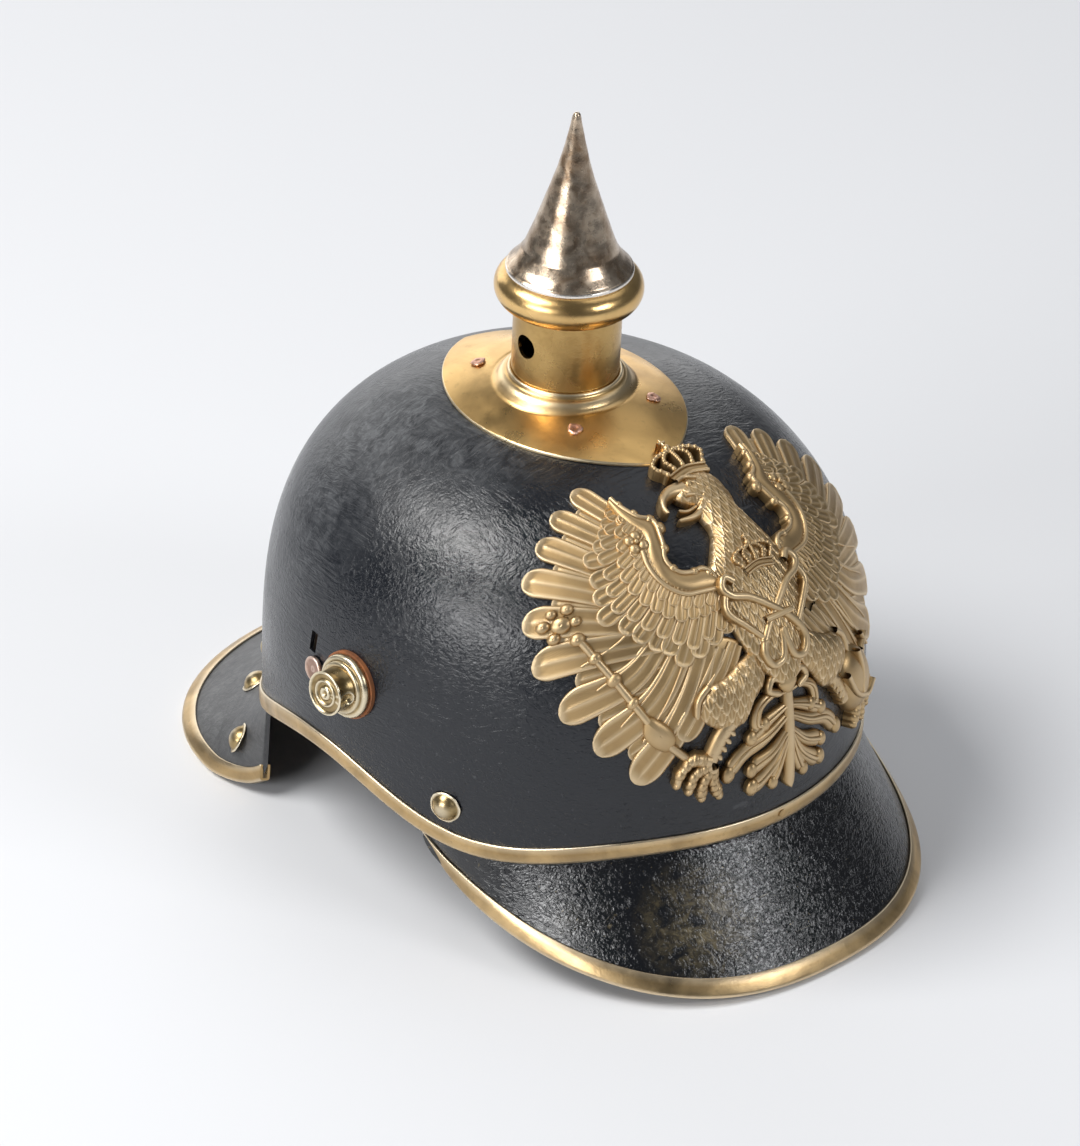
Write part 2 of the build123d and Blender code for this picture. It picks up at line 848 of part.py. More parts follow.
# Strap posts
def post_stack(start, thickness, radius):
    """A round layer of the strap posts on both sides, start above the skull."""
    with BuildPart() as layer:
        for turn in both_sides(post_turn):
            with BuildSketch(dome_seat(turn, post_height, start)):
                Circle(radius)
            extrude(amount=thickness)
    return layer.part


with BuildPart() as post_washers:
    for turn in both_sides(post_turn):
        with BuildSketch(dome_seat(turn, post_height, -washer_thickness)):
            Circle(washer_radius)
            Circle(post_shank_radius + fit_gap, mode=Mode.SUBTRACT)
        extrude(amount=2 * washer_thickness)
    add(skin, mode=Mode.SUBTRACT)

flange_top = washer_thickness + post_flange_thickness
drum_foot = flange_top + post_step_thickness
post_depth = skull_wall + flange_gap + carrier_thickness + post_nut_thickness
with BuildPart() as post_bases:
    add(post_stack(washer_thickness, post_flange_thickness, post_flange_radius))
    fillet(post_bases.edges().filter_by(GeomType.CIRCLE), post_flange_round)
    add(post_stack(flange_top, post_step_thickness, post_step_radius))
    add(post_stack(-post_depth, post_depth + washer_thickness, post_shank_radius))

with BuildPart() as post_drums:
    for turn in both_sides(post_turn):
        with BuildSketch(dome_seat(turn, post_height, drum_foot)):
            Circle(drum_radius)
        extrude(amount=drum_length)
        with BuildSketch(dome_seat(turn, post_height, drum_foot + drum_length)):
            Circle(drum_radius - drum_rim)
            Circle(drum_ring_radius, mode=Mode.SUBTRACT)
            Circle(drum_ring_radius - drum_ring_width)
            Circle(drum_nub_radius, mode=Mode.SUBTRACT)
        extrude(amount=-drum_recess, mode=Mode.SUBTRACT)
        side = dome_seat(turn, post_height, drum_foot + drum_length / 2)
        notch = Plane(origin=side.origin - side.x_dir * drum_radius * (1 if turn > 0 else -1),
                      x_dir=side.z_dir, z_dir=-side.x_dir * (1 if turn > 0 else -1))
        with BuildSketch(notch.offset(-slot_depth)):
            SlotOverall(slot_length, slot_width)
        extrude(amount=2 * slot_depth, mode=Mode.SUBTRACT)

with BuildPart() as post_nuts:
    for turn in both_sides(post_turn):
        with BuildSketch(dome_seat(turn, post_height, -post_depth)):
            RegularPolygon(post_nut_radius, 6)
            Circle(post_shank_radius + fit_gap, mode=Mode.SUBTRACT)
        extrude(amount=post_nut_thickness - leather_gap)

# Small studs beside the posts, with a raised rim and a riveted shank.
with BuildPart() as side_studs:
    for turn in both_sides(stud_turn):
        with BuildSketch(dome_seat(turn, stud_height, rivet_lift)):
            Circle(stud_radius)
        extrude(amount=stud_thickness)
        with BuildSketch(dome_seat(turn, stud_height, rivet_lift + stud_thickness)):
            Circle(stud_radius - stud_rim)
        extrude(amount=-stud_recess, mode=Mode.SUBTRACT)
        with BuildSketch(dome_seat(turn, stud_height, rivet_lift)):
            Circle(rivet_shank_radius)
        extrude(amount=-skull_wall - flange_gap - rivet_lift)

# Liner carrier: a steel band inside the skull, held by the strap posts.
carrier_out = -skull_wall - flange_gap
carrier_in = carrier_out - carrier_thickness
leather_out = -skull_wall - flange_gap - sheet_thickness - leather_gap
leather_in = leather_out - sweatband_thickness


def level_band(inner, outer, low, high):
    """Part of a shell between two levels."""
    with BuildPart() as band:
        add(dome_shell(inner, outer, wall_low))
        with Locations((0, 0, (low + high) / 2)):
            Box(3 * skull_width, 3 * skull_width, high - low, mode=Mode.INTERSECT)
    return band.part


with BuildPart() as liner_carrier:
    add(level_band(carrier_in, carrier_out, carrier_low, carrier_high))
    for turn in both_sides(post_turn):
        with Locations(dome_seat(turn, post_height).location):
            Cylinder(post_shank_radius + fit_gap, overrun / 2, mode=Mode.SUBTRACT)
    for turn in both_sides(strap_slot_turn):
        with Locations(dome_seat(turn, strap_slot_height).location):
            Box(strap_slot_width, strap_slot_length, overrun / 2, mode=Mode.SUBTRACT)

# Sweatband: the leather ring inside the carrier, cut away round the post nuts.
with BuildPart() as sweatband:
    add(level_band(leather_in, leather_out, sweatband_low, sweatband_high))
    for turn in both_sides(post_turn):
        with Locations(dome_seat(turn, post_height).location):
            Cylinder(sweatband_hole, overrun / 2, mode=Mode.SUBTRACT)

# Liner tongues: leather fingers that rise inside the skull towards the crown.
tongue_out = leather_in - leather_gap
with BuildPart() as liner_tongues:
    add(dome_shell(tongue_out - tongue_thickness, tongue_out, wall_low))
    with BuildSketch(Plane.XY.offset(tongue_low)):
        with PolarLocations(0, tongue_count, start_angle=180 / tongue_count):
            Polygon(
                (tongue_tip_radius, -tongue_tip_width / 2),
                (skull_front, -tongue_foot_width / 2),
                (skull_front, tongue_foot_width / 2),
                (tongue_tip_radius, tongue_tip_width / 2),
                align=None,
            )
    extrude(amount=dome_height, mode=Mode.INTERSECT)

# Eagle plate
view_up = radians(eagle_view_tilt)
eagle_view = Plane(
    origin=(0, 0, 0), x_dir=(1, 0, 0), z_dir=(0, -cos(view_up), sin(view_up))
).offset(skull_front / 4)


def eagle_places(shares):
    """Points of the eagle's drawing from shares of its half span."""
    return [(x * eagle_half_span, y * eagle_half_span) for x, y in shares]


def bent(inner, outer):
    """Bends what is drawn on the eagle's plane on to the skull, between two lifts."""
    extrude(amount=skull_width)
    add(dome_half(inner, outer, wall_low, -1), mode=Mode.INTERSECT)


def outline(shares, smooth=True):
    """A closed face through share points."""
    places = eagle_places(shares)
    with BuildSketch() as drawn:
        with BuildLine():
            if smooth:
                Spline(*places, periodic=True)
            else:
                Polyline(*places, close=True)
        make_face()
    return drawn.sketch


def stroke(shares, width_share):
    """A line of constant width through share points, with round ends."""
    places = eagle_places(shares)
    width = width_share * eagle_half_span
    with BuildSketch() as drawn:
        with BuildLine():
            if len(places) > 2:
                Spline(*places)
            else:
                Line(*places)
        trace(line_width=width)
        with Locations(places[0], places[-1]):
            Circle(width / 2)
    return drawn.sketch


def spot(share, radius_share):
    """A round knob of the drawing."""
    with Locations(eagle_places([share])[0]):
        Circle(radius_share * eagle_half_span)


def feather(angle, reach_share, width_share, root_share):
    """A feather on a ray of the wing: a bar with round ends."""
    root = root_share * eagle_half_span
    reach = reach_share * eagle_half_span
    with Locations(eagle_places([wing_centre_share])[0]):
        with Locations(Rotation(0, 0, angle)):
            with Locations(((root + reach) / 2, 0)):
                SlotOverall(reach - root, width_share * eagle_half_span)


def long_feather_angle(index):
    """Ray of a long feather; the rays spread further apart down the wing."""
    return long_fan_start - long_fan_step * index - long_fan_spread * index**2


def long_feathers():
    """The long feathers of one wing."""
    for index in range(long_feather_count):
        reach = long_reach_share + long_growth_share * index
        feather(long_feather_angle(index), reach, long_width_share, long_root_share)


def short_feathers():
    """The shorter feathers that show between the long ones."""
    for index in range(long_feather_count - 1):
        reach = (long_reach_share + long_growth_share * index) * under_reach_share
        feather(long_feather_angle(index + 0.5), reach, under_width_share, long_root_share)


def cover_feathers():
    """The covering feathers of one wing, which shorten down the wing."""
    for index in range(cover_count):
        step = index / (cover_count - 1)
        reach = cover_reach_share - cover_fall_share * step**2
        angle = cover_start + (cover_end - cover_start) * step
        feather(angle, reach, cover_width_share, reach - cover_length_share)


def royal_crown(place_share, size_share):
    """A closed crown: band, five arches, orb and cross, about a place and a half width."""

    def at(*shares):
        return [(place_share[0] + x * size_share, place_share[1] + y * size_share) for x, y in shares]

    with BuildSketch() as drawn:
        add(outline(at(*crown_band_shares), False))
        for arch in crown_arch_shares:
            add(stroke(at(*arch), crown_bar_share * size_share))
            add(stroke(at(*[(-x, y) for x, y in arch]), crown_bar_share * size_share))
        add(stroke(at(*crown_post_shares), crown_bar_share * size_share))
        add(stroke(at(*crown_cross_shares), crown_bar_share * size_share))
        spot(at(crown_orb_share)[0], crown_bar_share * size_share)
    return drawn.sketch


wing_centre_share = (0.247, -0.046)
wing_shares = (
    (0.10, -0.06), (0.36, 0.05), (0.38, 0.22), (0.42, 0.44), (0.52, 0.42), (0.70, 0.14),
    (0.74, -0.08), (0.62, -0.36), (0.44, -0.48), (0.20, -0.42),
)
arm_shares = (
    (0.425, 0.46), (0.40, 0.36), (0.35, 0.27), (0.38, 0.17), (0.40, 0.08), (0.35, 0.00),
    (0.25, -0.03), (0.18, -0.09),
)
knob_shares = ((0.31, 0.26), (0.325, 0.17), (0.36, 0.06), (0.28, 0.02), (0.40, 0.44), (0.22, -0.02))
trefoil_shares = ((0.43, 0.27), (0.42, 0.22), (0.47, 0.22), (0.47, 0.26))
body_shares = (
    (-0.09, 0.25), (-0.10, 0.12), (-0.20, -0.02), (-0.23, -0.17), (-0.19, -0.40), (-0.08, -0.58),
    (0.08, -0.58), (0.20, -0.40), (0.24, -0.14), (0.19, 0.03), (0.14, 0.16), (0.13, 0.28),
)
head_shares = (
    (-0.12, 0.42), (-0.04, 0.445), (0.09, 0.435), (0.13, 0.36), (0.13, 0.25), (0.00, 0.21),
    (-0.09, 0.25), (-0.07, 0.30), (-0.13, 0.36),
)
beak_shares = ((-0.07, 0.39), (-0.15, 0.395), (-0.205, 0.37), (-0.235, 0.33), (-0.235, 0.30))
jaw_shares = ((-0.05, 0.26), (-0.12, 0.245), (-0.205, 0.25))
thigh_shares = (
    (-0.12, -0.42), (-0.28, -0.48), (-0.39, -0.50), (-0.455, -0.57), (-0.44, -0.65), (-0.33, -0.72),
    (-0.22, -0.69), (-0.10, -0.56),
)
shank_shares = ((-0.30, -0.68), (-0.38, -0.74), (-0.42, -0.80))
toe_shares = (
    ((-0.43, -0.80), (-0.51, -0.765), (-0.56, -0.79), (-0.58, -0.83)),
    ((-0.43, -0.82), (-0.50, -0.83), (-0.53, -0.88)),
    ((-0.42, -0.83), (-0.465, -0.88), (-0.47, -0.935)),
    ((-0.415, -0.83), (-0.415, -0.895), (-0.39, -0.955)),
)
leaf_shares = (
    ((0.00, -0.66), (-0.09, -0.655), (-0.17, -0.69), (-0.19, -0.75), (-0.15, -0.76)),
    ((0.00, -0.72), (-0.12, -0.76), (-0.22, -0.795)),
    ((0.00, -0.77), (-0.14, -0.825), (-0.26, -0.85), (-0.375, -0.90)),
    ((0.00, -0.83), (-0.11, -0.90), (-0.24, -0.935)),
    ((0.00, -0.85), (-0.08, -0.94), (-0.17, -1.00), (-0.225, -1.01)),
    ((0.00, -0.85), (-0.05, -0.955), (-0.11, -1.03)),
)
tail_stem_shares = ((0.00, -0.62), (0.00, -0.85), (0.005, -1.07))
orb_share = (0.54, -0.73)
orb_cross_shares = (((0.63, -0.62), (0.70, -0.545)), ((0.64, -0.55), (0.70, -0.605)))
rod_shares = ((-0.86, -0.02), (-0.78, -0.28), (-0.68, -0.52), (-0.535, -0.75))
rod_knob_shares = (
    (-0.895, 0.07), (-0.96, 0.095), (-0.945, 0.025), (-0.83, 0.13), (-0.83, 0.05), (-0.915, 0.14),
)
pommel_shares = ((-0.69, -0.50), (-0.60, -0.58), (-0.57, -0.66), (-0.62, -0.69), (-0.70, -0.58))
crown_band_shares = ((-0.78, 0.0), (0.0, 0.14), (0.78, 0.0), (0.86, 0.30), (0.0, 0.46), (-0.86, 0.30))
crown_arch_shares = (
    ((-0.84, 0.30), (-1.10, 0.82), (-0.72, 1.12), (0.0, 1.20)),
    ((-0.44, 0.36), (-0.56, 0.86), (-0.32, 1.10), (0.0, 1.20)),
)
crown_post_shares = ((0.0, 0.40), (0.0, 1.66))
crown_cross_shares = ((-0.16, 1.54), (0.16, 1.54))
crown_orb_share = (0.0, 1.28)
head_crown_share = (0.015, 0.425)
chest_crown_share = (0.014, -0.102)
thigh_core_shares = (
    (-0.14, -0.45), (-0.28, -0.505), (-0.38, -0.53), (-0.425, -0.585), (-0.41, -0.64), (-0.33, -0.69),
    (-0.23, -0.66), (-0.13, -0.56),
)
body_core_shares = (
    (-0.06, 0.21), (-0.07, 0.10), (-0.15, -0.02), (-0.19, -0.17), (-0.16, -0.38), (-0.06, -0.54),
    (0.06, -0.54), (0.16, -0.38), (0.20, -0.14), (0.15, 0.03), (0.11, 0.16), (0.10, 0.26),
)
head_core_shares = (
    (-0.16, 0.395), (-0.04, 0.42), (0.07, 0.41), (0.105, 0.35), (0.10, 0.24), (0.00, 0.23),
    (-0.06, 0.27), (-0.05, 0.32), (-0.12, 0.35), (-0.20, 0.34), (-0.22, 0.36),
)
knot_shares = (
    ((-0.145, -0.10), (-0.21, -0.11), (-0.18, -0.16), (-0.01, -0.27), (0.13, -0.44), (0.05, -0.50)),
    ((-0.205, -0.12), (-0.24, -0.22), (-0.10, -0.39)),
)

# The stamping's outline, one sheet thick.
with BuildPart() as eagle_plate:
    with BuildSketch(eagle_view):
        long_feathers()
        short_feathers()
        add(outline(wing_shares))
        add(outline(thigh_shares))
        add(stroke(shank_shares, shank_width_share))
        for toe in toe_shares:
            add(stroke(toe, toe_width_share))
        for leaf in leaf_shares:
            add(stroke(leaf, leaf_width_share))
        mirror(about=Plane.YZ)
        add(outline(body_shares))
        add(outline(head_shares))
        add(stroke(beak_shares, beak_width_share))
        add(stroke(jaw_shares, jaw_width_share))
        add(royal_crown(head_crown_share, crown_size_share))
        add(stroke(tail_stem_shares, leaf_width_share))
        spot(orb_share, orb_radius_share)
        for bar in orb_cross_shares:
            add(stroke(bar, jaw_width_share))
        add(stroke(rod_shares, rod_width_share))
        for place in rod_knob_shares:
            spot(place, rod_knob_share)
        add(outline(pommel_shares))
    bent(eagle_gap, eagle_gap + eagle_sheet)

# Raised work: the covering feathers, then body, head, thighs and arms, then the chest's knot.
with BuildPart() as cover_layer:
    with BuildSketch(eagle_view):
        cover_feathers()
        mirror(about=Plane.YZ)
    bent(eagle_gap + eagle_sheet / 2, eagle_gap + eagle_sheet + cover_rise)

with BuildPart() as body_layer:
    with BuildSketch(eagle_view):
        add(stroke(arm_shares, arm_width_share))
        for place in knob_shares:
            spot(place, knob_share)
        add(outline(thigh_core_shares))
        mirror(about=Plane.YZ)
        add(outline(body_core_shares))
        add(outline(head_core_shares))
        spot(orb_share, orb_core_share)
    bent(eagle_gap + eagle_sheet / 2, eagle_gap + eagle_sheet + body_rise)

with BuildPart() as chest_layer:
    with BuildSketch(eagle_view):
        for line in knot_shares:
            add(stroke(line, knot_width_share))
        mirror(about=Plane.YZ)
        add(royal_crown(chest_crown_share, chest_crown_size_share))
    bent(eagle_gap + eagle_sheet / 2, eagle_gap + eagle_sheet + chest_rise)

with BuildPart() as crown_room:
    add(leaf_prism(eagle_gap))
    add(cap_ball(-eagle_gap), mode=Mode.INTERSECT)

with eagle_plate:
    for layer in (cover_layer, body_layer, chest_layer):
        add(layer.part)
    add(crown_room.part, mode=Mode.SUBTRACT)

# Eagle posts: threaded posts soldered behind the wings, cut to the plate's back.
with BuildPart() as eagle_posts:
    for turn in both_sides(eagle_post_turn):
        with BuildSketch(dome_seat(turn, eagle_post_height, eagle_sheet)):
            Circle(eagle_post_radius)
        extrude(amount=-eagle_sheet - skull_wall - eagle_nut_gap - eagle_nut_thickness - eagle_tail_length)
    add(dome_core(eagle_gap, wall_low), mode=Mode.INTERSECT)

with BuildPart() as eagle_nuts:
    for turn in both_sides(eagle_post_turn):
        with BuildSketch(dome_seat(turn, eagle_post_height, -skull_wall - eagle_nut_gap)):
            Rectangle(eagle_nut_width, eagle_nut_width)
            Circle(eagle_post_radius + fit_gap, mode=Mode.SUBTRACT)
        extrude(amount=-eagle_nut_thickness)

# The channels are worn flat where the helmet stands on them.
lean = Location((0, 0, 0), (stand_tilt, 0, 0))
foot_level = foot_flat + max(
    visor_trim.part.moved(lean).bounding_box().min.Z,
    neck_guard_trim.part.moved(lean).bounding_box().min.Z,
)
table_side = 3 * skull_width
for trim in (visor_trim, neck_guard_trim):
    with trim:
        with Locations(lean.inverse() * Location((0, 0, foot_level - overrun / 2))):
            Box(table_side, table_side, overrun, mode=Mode.SUBTRACT)

# Stance: lean forward, lift on to the table and centre the length on the origin.
pieces = {
    "skull": skull,
    "edge_band": edge_band,
    "band_pin": band_pin,
    "visor": visor,
    "visor_trim": visor_trim,
    "neck_guard": neck_guard,
    "neck_guard_trim": neck_guard_trim,
    "visor_rivets": visor_rivets,
    "visor_burrs": visor_burrs,
    "rear_rivets": rear_rivets,
    "rear_burrs": rear_burrs,
    "guard_rivets": guard_rivets,
    "guard_burrs": guard_burrs,
    "crown_plate": crown_plate,
    "plate_rivets": plate_rivets,
    "spike_neck": spike_neck,
    "bead_ring": bead_ring,
    "neck_bush": neck_bush,
    "spike": spike,
    "spike_stem": spike_stem,
    "post_washers": post_washers,
    "post_bases": post_bases,
    "post_drums": post_drums,
    "post_nuts": post_nuts,
    "side_studs": side_studs,
    "liner_carrier": liner_carrier,
    "sweatband": sweatband,
    "liner_tongues": liner_tongues,
    "eagle_plate": eagle_plate,
    "eagle_posts": eagle_posts,
    "eagle_nuts": eagle_nuts,
}
front = visor_trim.part.moved(lean).bounding_box()
rear = neck_guard_trim.part.moved(lean).bounding_box()
stand = Location((0, -(front.min.Y + rear.max.Y) / 2, -foot_level)) * lean

os.makedirs("parts", exist_ok=True)
for name, piece in pieces.items():
    placed = piece.part.moved(stand)
    placed.label = name
    export_step(placed, "parts/" + name + ".step")
    print(name, len(placed.solids()), round(placed.volume))
print("stand", stand)
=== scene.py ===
"""Spiked helmet of black lacquered steel with brass fittings, dressed for the photograph.

Every form is written in millimetres in the upright helmet's own frame (the spike's axis is Z,
the brow faces -Y, Z is zero at the skull's lower edge at the brow) and is then leant forward
and lifted on to the table, as the CAD is."""

import bpy
import numpy as np
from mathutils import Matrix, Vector


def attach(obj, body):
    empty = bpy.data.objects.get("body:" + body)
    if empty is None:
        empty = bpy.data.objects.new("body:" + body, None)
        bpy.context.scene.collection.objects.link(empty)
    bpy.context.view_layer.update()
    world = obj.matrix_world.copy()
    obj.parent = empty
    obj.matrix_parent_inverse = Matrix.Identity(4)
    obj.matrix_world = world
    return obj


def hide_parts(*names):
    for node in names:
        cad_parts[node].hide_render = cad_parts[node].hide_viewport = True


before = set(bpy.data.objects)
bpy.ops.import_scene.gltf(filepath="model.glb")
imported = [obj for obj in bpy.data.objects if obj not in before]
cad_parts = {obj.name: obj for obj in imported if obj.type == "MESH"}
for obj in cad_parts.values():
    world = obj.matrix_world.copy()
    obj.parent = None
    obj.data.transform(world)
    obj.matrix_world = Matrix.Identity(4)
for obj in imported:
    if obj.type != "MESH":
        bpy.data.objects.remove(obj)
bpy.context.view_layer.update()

# Skull
# The bowl is one piece of steel sheet, drawn, lacquered black by brush and rubbed grey in
# patches. In plan it is two half ellipses, in height a power curve. A turn is 0 at the brow and
# positive towards the wearer's left; lift is the distance outside the lacquered surface.
HALF, FRONT, REAR, HIGH, WALL = 95.0, 111.5, 98.0, 105.0, 1.2
RISE_POWER, PLAN_POWER = 3.03, 2.68
TILT, SHIFT, STAND = np.radians(3.3), -2.89957, 49.1973
EDGE_STATIONS = np.array([(-FRONT, 0.0), (-60.0, -8.6), (2.0, 4.6), (REAR, -27.0)])


def stance(p):
    """Upright millimetres to the row frame's metres: lean about X, then lift and centre."""
    p = np.asarray(p, float)
    y = p[..., 1] * np.cos(TILT) - p[..., 2] * np.sin(TILT) + SHIFT
    z = p[..., 1] * np.sin(TILT) + p[..., 2] * np.cos(TILT) + STAND
    return np.stack([p[..., 0], y, np.maximum(z, 0.02)], -1) / 1000


def swell(z):
    """Share of the plan's size kept at a height."""
    share = np.clip(np.asarray(z, float) / HIGH, 0, 1)
    return np.clip(1 - share**RISE_POWER, 0, 1) ** (1 / PLAN_POWER)


def plan_axis(turn):
    """Half length of the plan on the side that a turn in radians faces."""
    return np.where(np.cos(turn) > 0, FRONT, REAR)


def skull_normal(p):
    """Outward unit normal at points of the skull, from the gradient of its equation."""
    x, y, z = p[..., 0], p[..., 1], p[..., 2]
    a = np.where(y < 0, FRONT, REAR)
    share = np.clip(z / HIGH, 0, 1)
    inner = np.maximum(1 - share**RISE_POWER, 1e-9)
    fall = 2 / PLAN_POWER * inner ** (2 / PLAN_POWER - 1) * RISE_POWER * share ** (RISE_POWER - 1)
    g = np.stack([2 * x / HALF**2, 2 * y / a**2, fall / HIGH], -1)
    g[z > HIGH - 0.05] = (0, 0, 1)
    return g / np.linalg.norm(g, axis=-1, keepdims=True)


def skull_point(turn, z, lift=0.0):
    """Point of the skull at a turn in radians and a height, moved out by lift."""
    turn, z = np.broadcast_arrays(np.asarray(turn, float), np.asarray(z, float))
    rho = swell(z)
    p = np.stack([HALF * np.sin(turn) * rho, -plan_axis(turn) * np.cos(turn) * rho, z], -1)
    return p + skull_normal(p) * np.asarray(lift)[..., None]


def edge_height(y):
    """Height of the lower edge at a place along Y: half cosines between four stations."""
    y = np.clip(y, EDGE_STATIONS[0, 0], EDGE_STATIONS[-1, 0])
    out = np.zeros_like(y)
    for (y0, z0), (y1, z1) in zip(EDGE_STATIONS, EDGE_STATIONS[1:]):
        part = (y >= y0) & (y <= y1)
        out[part] = (z0 + (z1 - z0) * (1 - np.cos(np.pi * (y - y0) / (y1 - y0))) / 2)[part]
    return out


def edge_at(turn):
    """Height of the lower edge at a turn, and the slope of the edge along Y."""
    y = -plan_axis(turn) * np.cos(turn)
    slope = (edge_height(y + 0.05) - edge_height(y - 0.05)) / 0.1
    return edge_height(y), slope


def grid_faces(rows, cols, close_rows, close_cols, start):
    """Quads of a grid of points, with wrap-around in either direction."""
    i = np.arange(rows if close_rows else rows - 1)
    j = np.arange(cols if close_cols else cols - 1)
    i, j = np.meshgrid(i, j, indexing="ij")
    k, m = (i + 1) % rows, (j + 1) % cols
    quads = np.stack([i * cols + j, k * cols + j, k * cols + m, i * cols + m], -1)
    return quads.reshape(-1, 4) + start


def facing(points, quads, centre):
    """Quads turned so that they face away from a centre, judged by the volume that they sweep."""
    p = points - centre
    a, b, c, d = (p[quads[:, k]] for k in range(4))
    volume = (np.cross(b - a, c - a) * a).sum() + (np.cross(c - a, d - a) * a).sum()
    return quads if volume > 0 else quads[:, ::-1]


def block(points, close_rows=False, close_cols=False, centre=None, worn=0.0, barb=0.0, holes=()):
    """A grid of points in upright millimetres, with its wrap, centre, wear, barbs and holes."""
    points = np.asarray(points, float)
    worn, barb = (np.broadcast_to(values, points.shape[:2]).reshape(-1) for values in (worn, barb))
    return points, close_rows, close_cols, centre, worn, barb, holes


def piece(name, blocks, material, nodes=(), body="helmet"):
    """One mesh object of several grids, which stands for CAD nodes and rides on their body."""
    verts, faces, wear, barbs, start = [], [], [], [], 0
    for points, close_rows, close_cols, centre, worn, barb, holes in blocks:
        rows, cols = points.shape[:2]
        flat = points.reshape(-1, 3)
        quads = grid_faces(rows, cols, close_rows, close_cols, 0)
        kept = np.ones((rows if close_rows else rows - 1, cols if close_cols else cols - 1), bool)
        for top, bottom, first, last in holes:
            kept[top:bottom, first:last] = False
        quads = quads[kept.reshape(-1)]
        quads = facing(flat, quads, flat.mean(0) if centre is None else np.asarray(centre, float))
        verts.append(flat)
        faces.append(quads + start)
        wear.append(worn)
        barbs.append(barb)
        start += len(flat)
    verts, faces = stance(np.concatenate(verts)), np.concatenate(faces)
    mesh = bpy.data.meshes.new(name)
    mesh.vertices.add(len(verts))
    mesh.vertices.foreach_set("co", verts.ravel())
    mesh.loops.add(faces.size)
    mesh.loops.foreach_set("vertex_index", faces.ravel().astype(np.int32))
    mesh.polygons.add(len(faces))
    mesh.polygons.foreach_set("loop_start", np.arange(0, faces.size, 4, dtype=np.int32))
    mesh.polygons.foreach_set("use_smooth", np.ones(len(faces), dtype=bool))
    mesh.update(calc_edges=True)
    mesh.validate()
    for label, values in (("worn", wear), ("barb", barbs)):
        layer = mesh.attributes.new(label, "FLOAT", "POINT")
        layer.data.foreach_set("value", np.concatenate(values).astype(np.float32))
    obj = bpy.data.objects.new(name, mesh)
    bpy.context.scene.collection.objects.link(obj)
    mesh.materials.append(material)
    if nodes:
        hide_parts(*nodes)
    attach(obj, body)


class Nodes:
    """Makes shader nodes in a tree and links them by output. Patterns read object coordinates in
    metres, so that strokes and stains keep their real size."""

    def __init__(self, tree):
        self.tree = tree
        self.place = tree.nodes.new("ShaderNodeTexCoord").outputs["Object"]

    def put(self, socket, value):
        """Links an output to a socket, or sets a number, a place or a colour on it."""
        if hasattr(value, "is_output"):
            self.tree.links.new(value, socket)
        elif socket.type == "RGBA":
            socket.default_value = (*value[:3], 1)
        else:
            socket.default_value = value

    def node(self, kind, inputs, **values):
        """One shader node, with its modes set before its sockets."""
        made = self.tree.nodes.new("ShaderNode" + kind)
        for key, value in values.items():
            setattr(made, key, value)
        for key, value in inputs.items():
            self.put(made.inputs[key], value)
        return made

    def use(self, effect, inputs):
        """Places a shared effect with this material's own values and gives its outputs."""
        return self.node("Group", inputs, node_tree=effect).outputs

    def noise(self, scale, detail=4.0, stretch=(1, 1, 1), turn=(0, 0, 0), distortion=0.0, rough=0.55):
        """Noise between 0 and 1 on coordinates that are turned and stretched first."""
        placed = self.node("Mapping", {"Vector": self.place, "Scale": stretch, "Rotation": turn})
        values = {"Vector": placed.outputs[0], "Scale": scale, "Detail": detail, "Roughness": rough}
        return self.node("TexNoise", values | {"Distortion": distortion}).outputs["Fac"]

    def ramp(self, value, low, high, start=0.0, end=1.0):
        """Straight line from start at low to end at high, held at both ends."""
        ends = {"From Min": low, "From Max": high, "To Min": start, "To Max": end}
        return self.node("MapRange", {"Value": value} | ends).outputs[0]

    def math(self, kind, a, b, clamp=False):
        """A sum, product, larger value or sine, named by its kind."""
        return self.node("Math", {0: a, 1: b}, operation=kind, use_clamp=clamp).outputs[0]

    def blend(self, share, a, b):
        """A value between two values."""
        return self.node("Mix", {"Factor": share, "A": a, "B": b}, data_type="FLOAT").outputs["Result"]

    def mix(self, share, a, b):
        """A colour between two colours."""
        return self.node("Mix", {"Factor": share, "A": a, "B": b}, data_type="RGBA").outputs["Result"]

    def near(self, place, reach, core):
        """One within a core about a place in metres, falling to nothing at the reach."""
        far = self.node("VectorMath", {0: self.place, 1: place}, operation="DISTANCE")
        return self.ramp(far.outputs["Value"], core, reach, 1.0, 0.0)

    def attribute(self, name):
        """A value that the piece carries at its points."""
        return self.node("Attribute", {}, attribute_name=name).outputs["Fac"]

    def bump(self, height, distance, strength=1.0, under=None):
        """A normal tilted by the slope of a height, over the one under it."""
        made = self.node("Bump", {"Height": height, "Distance": distance, "Strength": strength})
        if under is not None:
            self.put(made.inputs["Normal"], under)
        return made.outputs[0]


class Finish(Nodes):
    """One material: its own nodes and the shared effects feed its Principled shader."""

    def __init__(self, name):
        self.material = bpy.data.materials.new(name)
        self.material.use_nodes = True
        super().__init__(self.material.node_tree)
        self.shader = self.tree.nodes["Principled BSDF"]

    def done(self, colour, rough, normal=None, **fixed):
        """Feeds the shader, sets its fixed values and gives the material."""
        self.put(self.shader.inputs["Base Color"], colour)
        self.put(self.shader.inputs["Roughness"], rough)
        if normal is not None:
            self.put(self.shader.inputs["Normal"], normal)
        for key, value in fixed.items():
            self.put(self.shader.inputs[key.replace("_", " ").title().replace("Ior", "IOR")], value)
        return self.material


